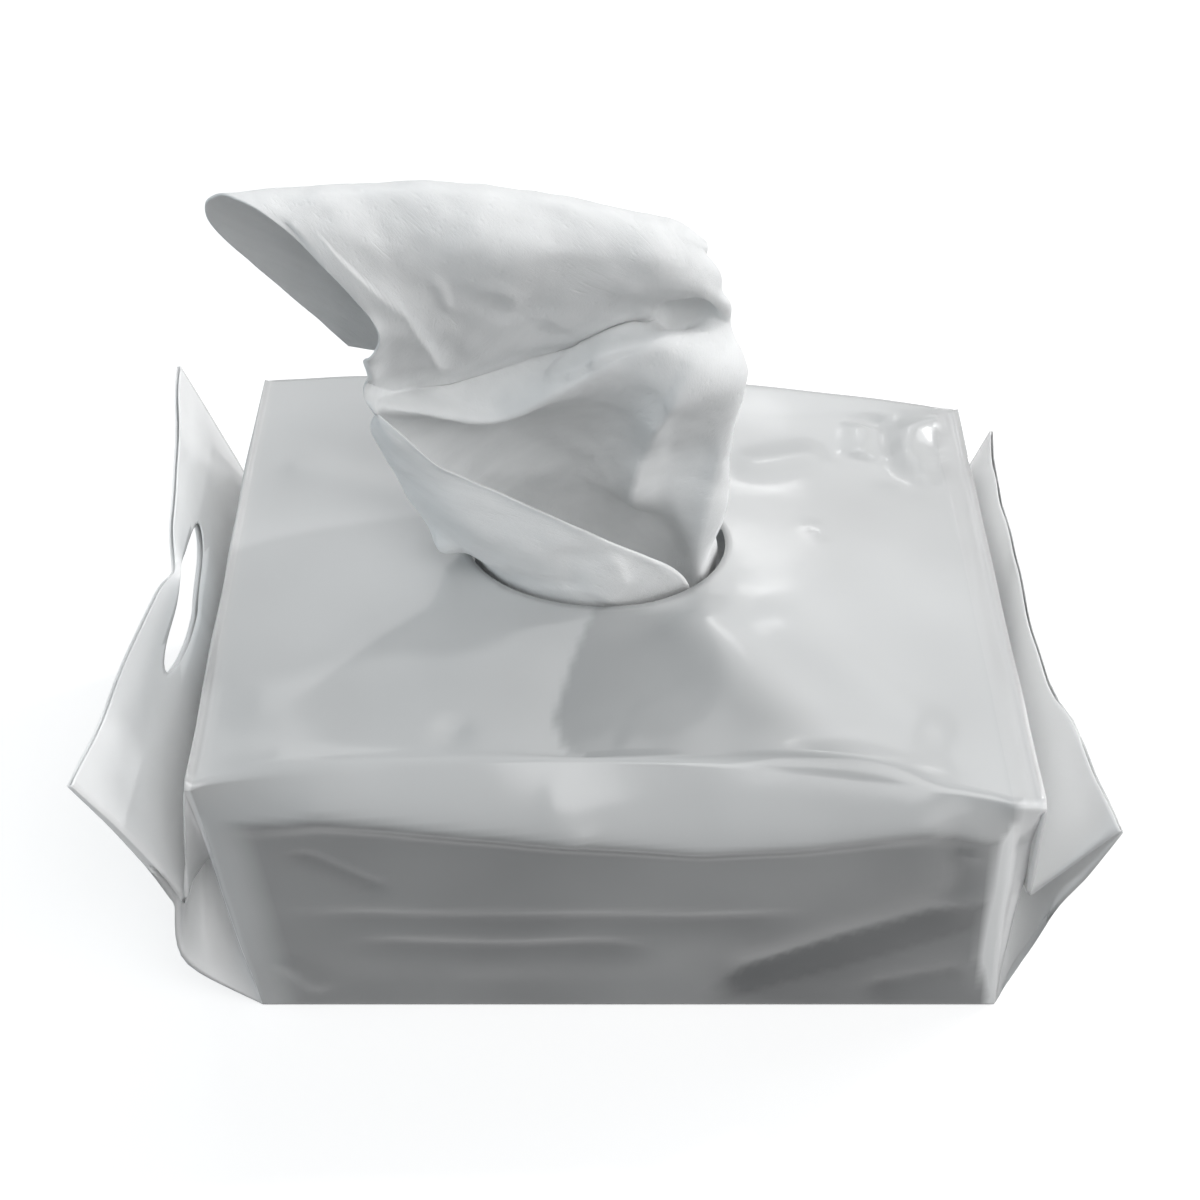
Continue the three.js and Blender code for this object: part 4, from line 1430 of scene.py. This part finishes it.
    def surface(self) -> tuple[Array, Array]:
        """The wipe's middle surface: curves up through the net's places, then across its lines.

        The upward curves break at the sharp valley, so that it stays a crease. Folds and crumples go along
        the normals on the side that the far wall shows to the front.

        Returns:
            Points by row and column, and their flat coordinates in millimetres.
        """
        net = self.net()
        below = spline_through(net[: self.valley_line + 1], self.row_steps)
        above = spline_through(net[self.valley_line :], self.row_steps)
        upward = np.concatenate([below, above[1:]])
        grid = spline_through(upward.transpose(1, 0, 2), self.column_steps).transpose(1, 0, 2)
        normal = -grid_normals(grid, ring=False)
        height = sum(self.folded(crease, grid, normal) for crease in self.folds)
        free = ease(grid[..., 2], *self.free_heights)
        height = height + free * sum(waves.relief(grid) for waves in self.crumples)
        grid = grid + normal * height[..., None]
        return grid, np.stack([run_length(grid, 1), run_length(grid, 0)], axis=-1)

    def folded(self, crease: Crease, grid: Array, normal: Array) -> Array:
        """Height of a crease given by lines and places of the net, kept to its own part of the net.

        Args:
            crease: The crease.
            grid: The wipe's smooth surface.
            normal: Its normals.

        Returns:
            The height in millimetres.
        """
        steps = np.array([self.row_steps, self.column_steps])
        path = np.array(crease.path)
        nodes = np.rint(path * steps).astype(int)
        rows, columns = (np.arange(size) / step for size, step in zip(grid.shape, steps))
        (low, first), (high, last) = path.min(axis=0), path.max(axis=0)
        own_rows = 1.0 - ease(np.maximum(low - rows, rows - high), *self.own_lines)
        own_columns = 1.0 - ease(np.maximum(first - columns, columns - last), *self.own_places)
        height = crease.relief(grid, normal, grid[nodes[:, 0], nodes[:, 1]])
        return height * own_rows[:, None] * own_columns[None, :]

    def build(self, cloth: bpy.types.Material) -> bpy.types.Object:
        """Makes the wipe and dresses it in its cloth.

        Args:
            cloth: The cloth's material.

        Returns:
            The wipe.
        """
        grid, flat = self.surface()
        rows, columns = grid.shape[:2]
        faces = grid_faces(rows, columns, ring=False).reshape(-1, 4)
        piece = mesh_piece("drawn_wipe", grid.reshape(-1, 3), faces, flat.reshape(-1, 2))
        thicken(piece, self.cloth, 0.0)
        piece.data.materials.append(cloth)
        return piece


@dataclass
class WipeStack:
    """The folded wipes inside: a soft block whose long sides show the folds of its layers."""

    middle: Pair = (0.5, 0.0)
    half: Pair = (73.4, 50.4)
    floor: float = 0.8
    top: float = 68.4
    layer: float = 2.2
    layer_depth: float = 0.9
    layer_power: float = 0.5
    squareness: float = 14.0
    round_off: float = 5.0
    round_share: float = 0.45
    lid_shrink: Pair = (0.93, 0.01)
    around: int = 160
    levels: int = 130
    lids: int = 14

    def surface(self) -> tuple[Array, Array]:
        """The block as rings: a rounded rectangle, drawn in at each layer's joint and over the lids.

        The rectangle is a superellipse. Each side ring is drawn in by a cusp at every joint, and by a quarter
        circle near the lids. The lids' rings shrink evenly to the middle.

        Returns:
            Points by ring and place, and their flat coordinates.
        """
        turn = np.linspace(0.0, 2.0 * np.pi, self.around, endpoint=False)
        round_trip = np.stack([np.cos(turn), np.sin(turn)], axis=1)
        outline = np.sign(round_trip) * np.abs(round_trip) ** (2.0 / self.squareness)
        z = np.linspace(self.floor, self.top, self.levels)
        bulge = np.abs(np.sin(np.pi * (z - self.floor) / self.layer)) ** self.layer_power
        inside = np.maximum(self.round_off - np.minimum(z - self.floor, self.top - z), 0.0)
        corner = self.round_off - np.sqrt(np.maximum(self.round_off**2 - inside**2, 0.0))
        draw = self.round_share * corner + self.layer_depth * (1.0 - bulge)
        shrink = np.linspace(*self.lid_shrink, self.lids)
        sides = outline[None] * (np.array(self.half) - draw[:, None])[:, None, :]
        lid = outline[None] * np.array(self.half) * shrink[:, None, None]
        ring_xy = np.concatenate([lid[::-1], sides, lid]) + np.array(self.middle)
        ring_z = np.concatenate([np.full(self.lids, self.floor), z, np.full(self.lids, self.top)])
        points = np.concatenate([ring_xy, np.repeat(ring_z[:, None], self.around, axis=1)[..., None]], axis=2)
        return points, points[..., [0, 2]] + points[..., [1, 1]]

    def build(self, cloth: bpy.types.Material) -> bpy.types.Object:
        """Makes the stack, closes its two lids and dresses it in its cloth.

        Args:
            cloth: The cloth's material.

        Returns:
            The stack.
        """
        points, flat = self.surface()
        rings, around = points.shape[:2]
        faces = grid_faces(rings, around, ring=True).reshape(-1, 4)
        first = np.arange(around // 2 - 1)
        lid = np.stack([first, first + 1, around - 2 - first, around - 1 - first], axis=1)
        faces = np.concatenate([faces, lid[:, ::-1], lid + (rings - 1) * around])
        piece = mesh_piece("wipe_layers", points.reshape(-1, 3), faces, flat.reshape(-1, 2))
        piece.data.materials.append(cloth)
        return piece


@dataclass(frozen=True)
class Panel:
    """A soft lamp: its place, what it looks at and its two sides, in millimetres, its watts and its tint."""

    name: str
    place: Triple
    sides: Pair
    power: float
    target: Triple = (0.0, 0.0, 60.0)
    tint: Triple = (1.0, 1.0, 1.0)

    def build(self) -> None:
        """Hangs the lamp."""
        lamp = bpy.data.lights.new(self.name, "AREA")
        lamp.shape = "RECTANGLE"
        lamp.size, lamp.size_y = (side * MILLIMETRE for side in self.sides)
        lamp.energy = self.power
        lamp.color = self.tint
        holder = bpy.data.objects.new(self.name, lamp)
        holder.location = np.array(self.place) * MILLIMETRE
        aim = mathutils.Vector(np.array(self.target) - np.array(self.place))
        holder.rotation_euler = aim.to_track_quat("-Z", "Y").to_euler()
        bpy.context.scene.collection.objects.link(holder)


@dataclass(frozen=True)
class Studio:
    """A plain pale floor, a soft sky, a sun-like lamp behind on the right, soft panels and the camera.

    Places and sizes are millimetres, angles are degrees, and the floor's fade and the clip are metres.
    """

    camera_place: Triple = (-1.2, -241.0, 336.0)
    camera_tilt: float = 42.0
    lens: float = 51.0
    sensor: float = 36.0
    clip_start: float = 0.01
    floor_size: float = 1500.0
    floor_drop: float = 0.4
    floor_seen: Colour = (0.5, 0.5, 0.5, 1.0)
    floor_glow: Pair = (0.66, 1.0)
    floor_fade: Pair = (0.3, 0.9)
    floor_bounce: Colour = (0.12, 0.12, 0.122, 1.0)
    floor_rough: Pair = (0.9, 1.0)
    sky_tint: Colour = (0.95, 0.98, 1.0, 1.0)
    sky: Pair = (0.0, 0.25)
    sky_span: Pair = (-0.5, 0.5)
    sky_heading: Triple = (0.0, 0.0, 1.0)
    sun: float = 0.55
    sun_spread: float = 3.0
    sun_height: float = 42.0
    sun_turn: float = 28.0
    panels: tuple[Panel, ...] = (
        Panel("back_panel", (60.0, 700.0, 820.0), (1000.0, 620.0), 2.5, target=(0.0, 0.0, 80.0)),
        Panel("right_panel", (800.0, 350.0, 500.0), (500.0, 500.0), 2.6),
        Panel("over_panel", (260.0, -480.0, 870.0), (500.0, 500.0), 2.9),
        Panel("front_panel", (950.0, -330.0, 430.0), (400.0, 400.0), 2.0),
        Panel("fill_panel", (420.0, -850.0, 360.0), (400.0, 400.0), 0.5),
        Panel("left_panel", (-850.0, -160.0, 400.0), (500.0, 500.0), 2.0, tint=(0.8, 0.93, 1.0)),
        Panel("glint_panel", (274.0, 848.0, 820.0), (120.0, 80.0), 0.2, target=(70.0, 40.0, 74.0)),
    )

    def build(self) -> None:
        """Makes the camera, floor, lamps and sky."""
        scene = bpy.context.scene
        scene.view_settings.view_transform = "Standard"
        camera = bpy.data.objects.new("camera", bpy.data.cameras.new("camera"))
        camera.data.lens = self.lens
        camera.data.sensor_width = self.sensor
        camera.data.clip_start = self.clip_start
        camera.location = np.array(self.camera_place) * MILLIMETRE
        camera.rotation_euler = (np.radians(self.camera_tilt), 0.0, 0.0)
        scene.collection.objects.link(camera)
        scene.camera = camera
        self.floor()
        self.sunlight()
        for panel in self.panels:
            panel.build()
        self.backdrop()

    @staticmethod
    def in_view(nodes: NodeTree) -> bpy.types.Node:
        """Finds where the camera, a reflection or a see-through ray looks.

        Args:
            nodes: The tree to work in.

        Returns:
            A node whose Value is one there and zero elsewhere.
        """
        path = nodes.add("ShaderNodeLightPath")
        mirrored = nodes.add("ShaderNodeMath", operation="MAXIMUM")
        seen = nodes.add("ShaderNodeMath", operation="MAXIMUM")
        nodes.join(path, "Is Glossy Ray", mirrored, 0)
        nodes.join(path, "Is Transmission Ray", mirrored, 1)
        nodes.join(path, "Is Camera Ray", seen, 0)
        nodes.join(mirrored, "Value", seen, 1)
        return seen

    def floor(self) -> None:
        """Makes the floor: white with a soft shadow where it is looked at, a duller one for its bounce.

        The white grows to full strength away from the pack, so that the floor's edge doesn't show.
        """
        corners = np.array([[-1, -1, 0], [1, -1, 0], [1, 1, 0], [-1, 1, 0]], float) * self.floor_size
        corners[:, 2] = -self.floor_drop
        piece = mesh_piece("floor", corners, np.array([[0, 1, 2, 3]]), corners[:, :2])
        made, nodes = new_material("floor")
        bounce = nodes.find("Principled BSDF", Base_Color=self.floor_bounce, Roughness=self.floor_rough[0])
        shown = nodes.add(
            "ShaderNodeBsdfPrincipled", Base_Color=self.floor_seen, Roughness=self.floor_rough[1],
            Specular_IOR_Level=0.0, Emission_Color=WHITE,
        )
        place = nodes.add("ShaderNodeTexCoord")
        away = nodes.add("ShaderNodeVectorMath", operation="LENGTH")
        glow = nodes.add(
            "ShaderNodeMapRange", interpolation_type="SMOOTHSTEP", From_Min=self.floor_fade[0],
            From_Max=self.floor_fade[1], To_Min=self.floor_glow[0], To_Max=self.floor_glow[1],
        )
        mix = nodes.add("ShaderNodeMixShader")
        nodes.join(place, "Object", away, 0)
        nodes.join(away, "Value", glow, "Value")
        nodes.join(glow, "Result", shown, "Emission Strength")
        nodes.join(self.in_view(nodes), "Value", mix, "Fac")
        nodes.join(bounce, "BSDF", mix, 1)
        nodes.join(shown, "BSDF", mix, 2)
        nodes.join(mix, "Shader", nodes.find("Material Output"), "Surface")
        piece.data.materials.append(made)

    def sunlight(self) -> None:
        """Makes the sun-like lamp."""
        sun = bpy.data.lights.new("sun", "SUN")
        sun.energy = self.sun
        sun.angle = np.radians(self.sun_spread)
        holder = bpy.data.objects.new("sun", sun)
        holder.rotation_euler = (0.0, np.radians(90.0 - self.sun_height), np.radians(self.sun_turn))
        bpy.context.scene.collection.objects.link(holder)

    def backdrop(self) -> None:
        """Makes the sky: white where it is looked at, elsewhere a soft light that grows to its heading."""
        world = bpy.data.worlds.new("sky")
        world.use_nodes = True
        bpy.context.scene.world = world
        nodes = NodeTree(world.node_tree)
        shade = nodes.find("Background", Color=self.sky_tint)
        place = nodes.add("ShaderNodeTexCoord")
        facing = nodes.add("ShaderNodeVectorMath", operation="DOT_PRODUCT")
        facing.inputs[1].default_value = self.sky_heading
        level = nodes.add(
            "ShaderNodeMapRange", interpolation_type="SMOOTHSTEP", From_Min=self.sky_span[0],
            From_Max=self.sky_span[1], To_Min=self.sky[0], To_Max=self.sky[1],
        )
        white = nodes.add("ShaderNodeBackground", Color=WHITE)
        mix = nodes.add("ShaderNodeMixShader")
        nodes.join(place, "Generated", facing, 0)
        nodes.join(facing, "Value", level, "Value")
        nodes.join(level, "Result", shade, "Strength")
        nodes.join(self.in_view(nodes), "Value", mix, "Fac")
        nodes.join(shade, "Background", mix, 1)
        nodes.join(white, "Background", mix, 2)
        nodes.join(mix, "Shader", nodes.find("World Output"), "Surface")


def carry(piece: bpy.types.Object, node: str) -> None:
    """Lets a piece stand for its solid and ride with it.

    Args:
        piece: The piece.
        node: The solid's node.
    """
    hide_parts(node)
    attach(piece, "root")
    log.info("%s stands for %s: %d points", piece.name, node, len(piece.data.vertices))


def main() -> None:
    """Builds the pack's looks and the studio round it."""
    logging.basicConfig(level=logging.INFO, format="%(name)s: %(message)s")
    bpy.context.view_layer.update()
    panel = TopPanel()
    left = EndFold(
        out=-1.0, crease=(-78.0, 80.0), base=(-75.0, 0.0), tuck=1.5, valley=(-84.5, 41.5), tip=(-97.0, 81.0),
        belly=(-88.5, 18.0), mouth=2.2, gusset_run=0.3, gusset_depth=0.5, foot=0.4, fold_start=0.4,
        back_inset=0.0, bow=Bow.MIDDLE, bow_depth=8.0,
    )
    right = EndFold(
        out=1.0, crease=(82.0, 74.0), base=(85.0, 0.0), tuck=6.0, valley=(84.5, 44.0), tip=(97.5, 68.0),
        belly=(89.0, 22.0), mouth=8.0, gusset_run=1.0, gusset_depth=0.4, foot=0.22, fold_start=0.2,
        back_inset=7.0, bow=Bow.BACK, bow_depth=9.0,
    )
    mottle = mottle_group()
    film = FilmFinish().material(mottle)
    cloth = ClothFinish().material(mottle)
    # The ends' paler film colour is partly painted glow, standing in for light shining through them.
    end_film = FilmFinish("film_ends", glow=0.5, pale=(0.965, 0.97, 0.97, 1.0)).material(mottle)
    carry(FilmPouch(panel, left, right).build(film, end_film), "film_pouch")
    carry(WipeStack().build(cloth), "wipe_stack")
    wipe = DrawnWipe(panel).build(cloth)
    carry(wipe, "pulled_wipe")
    Studio().build()


if __name__ == "__main__":
    main()
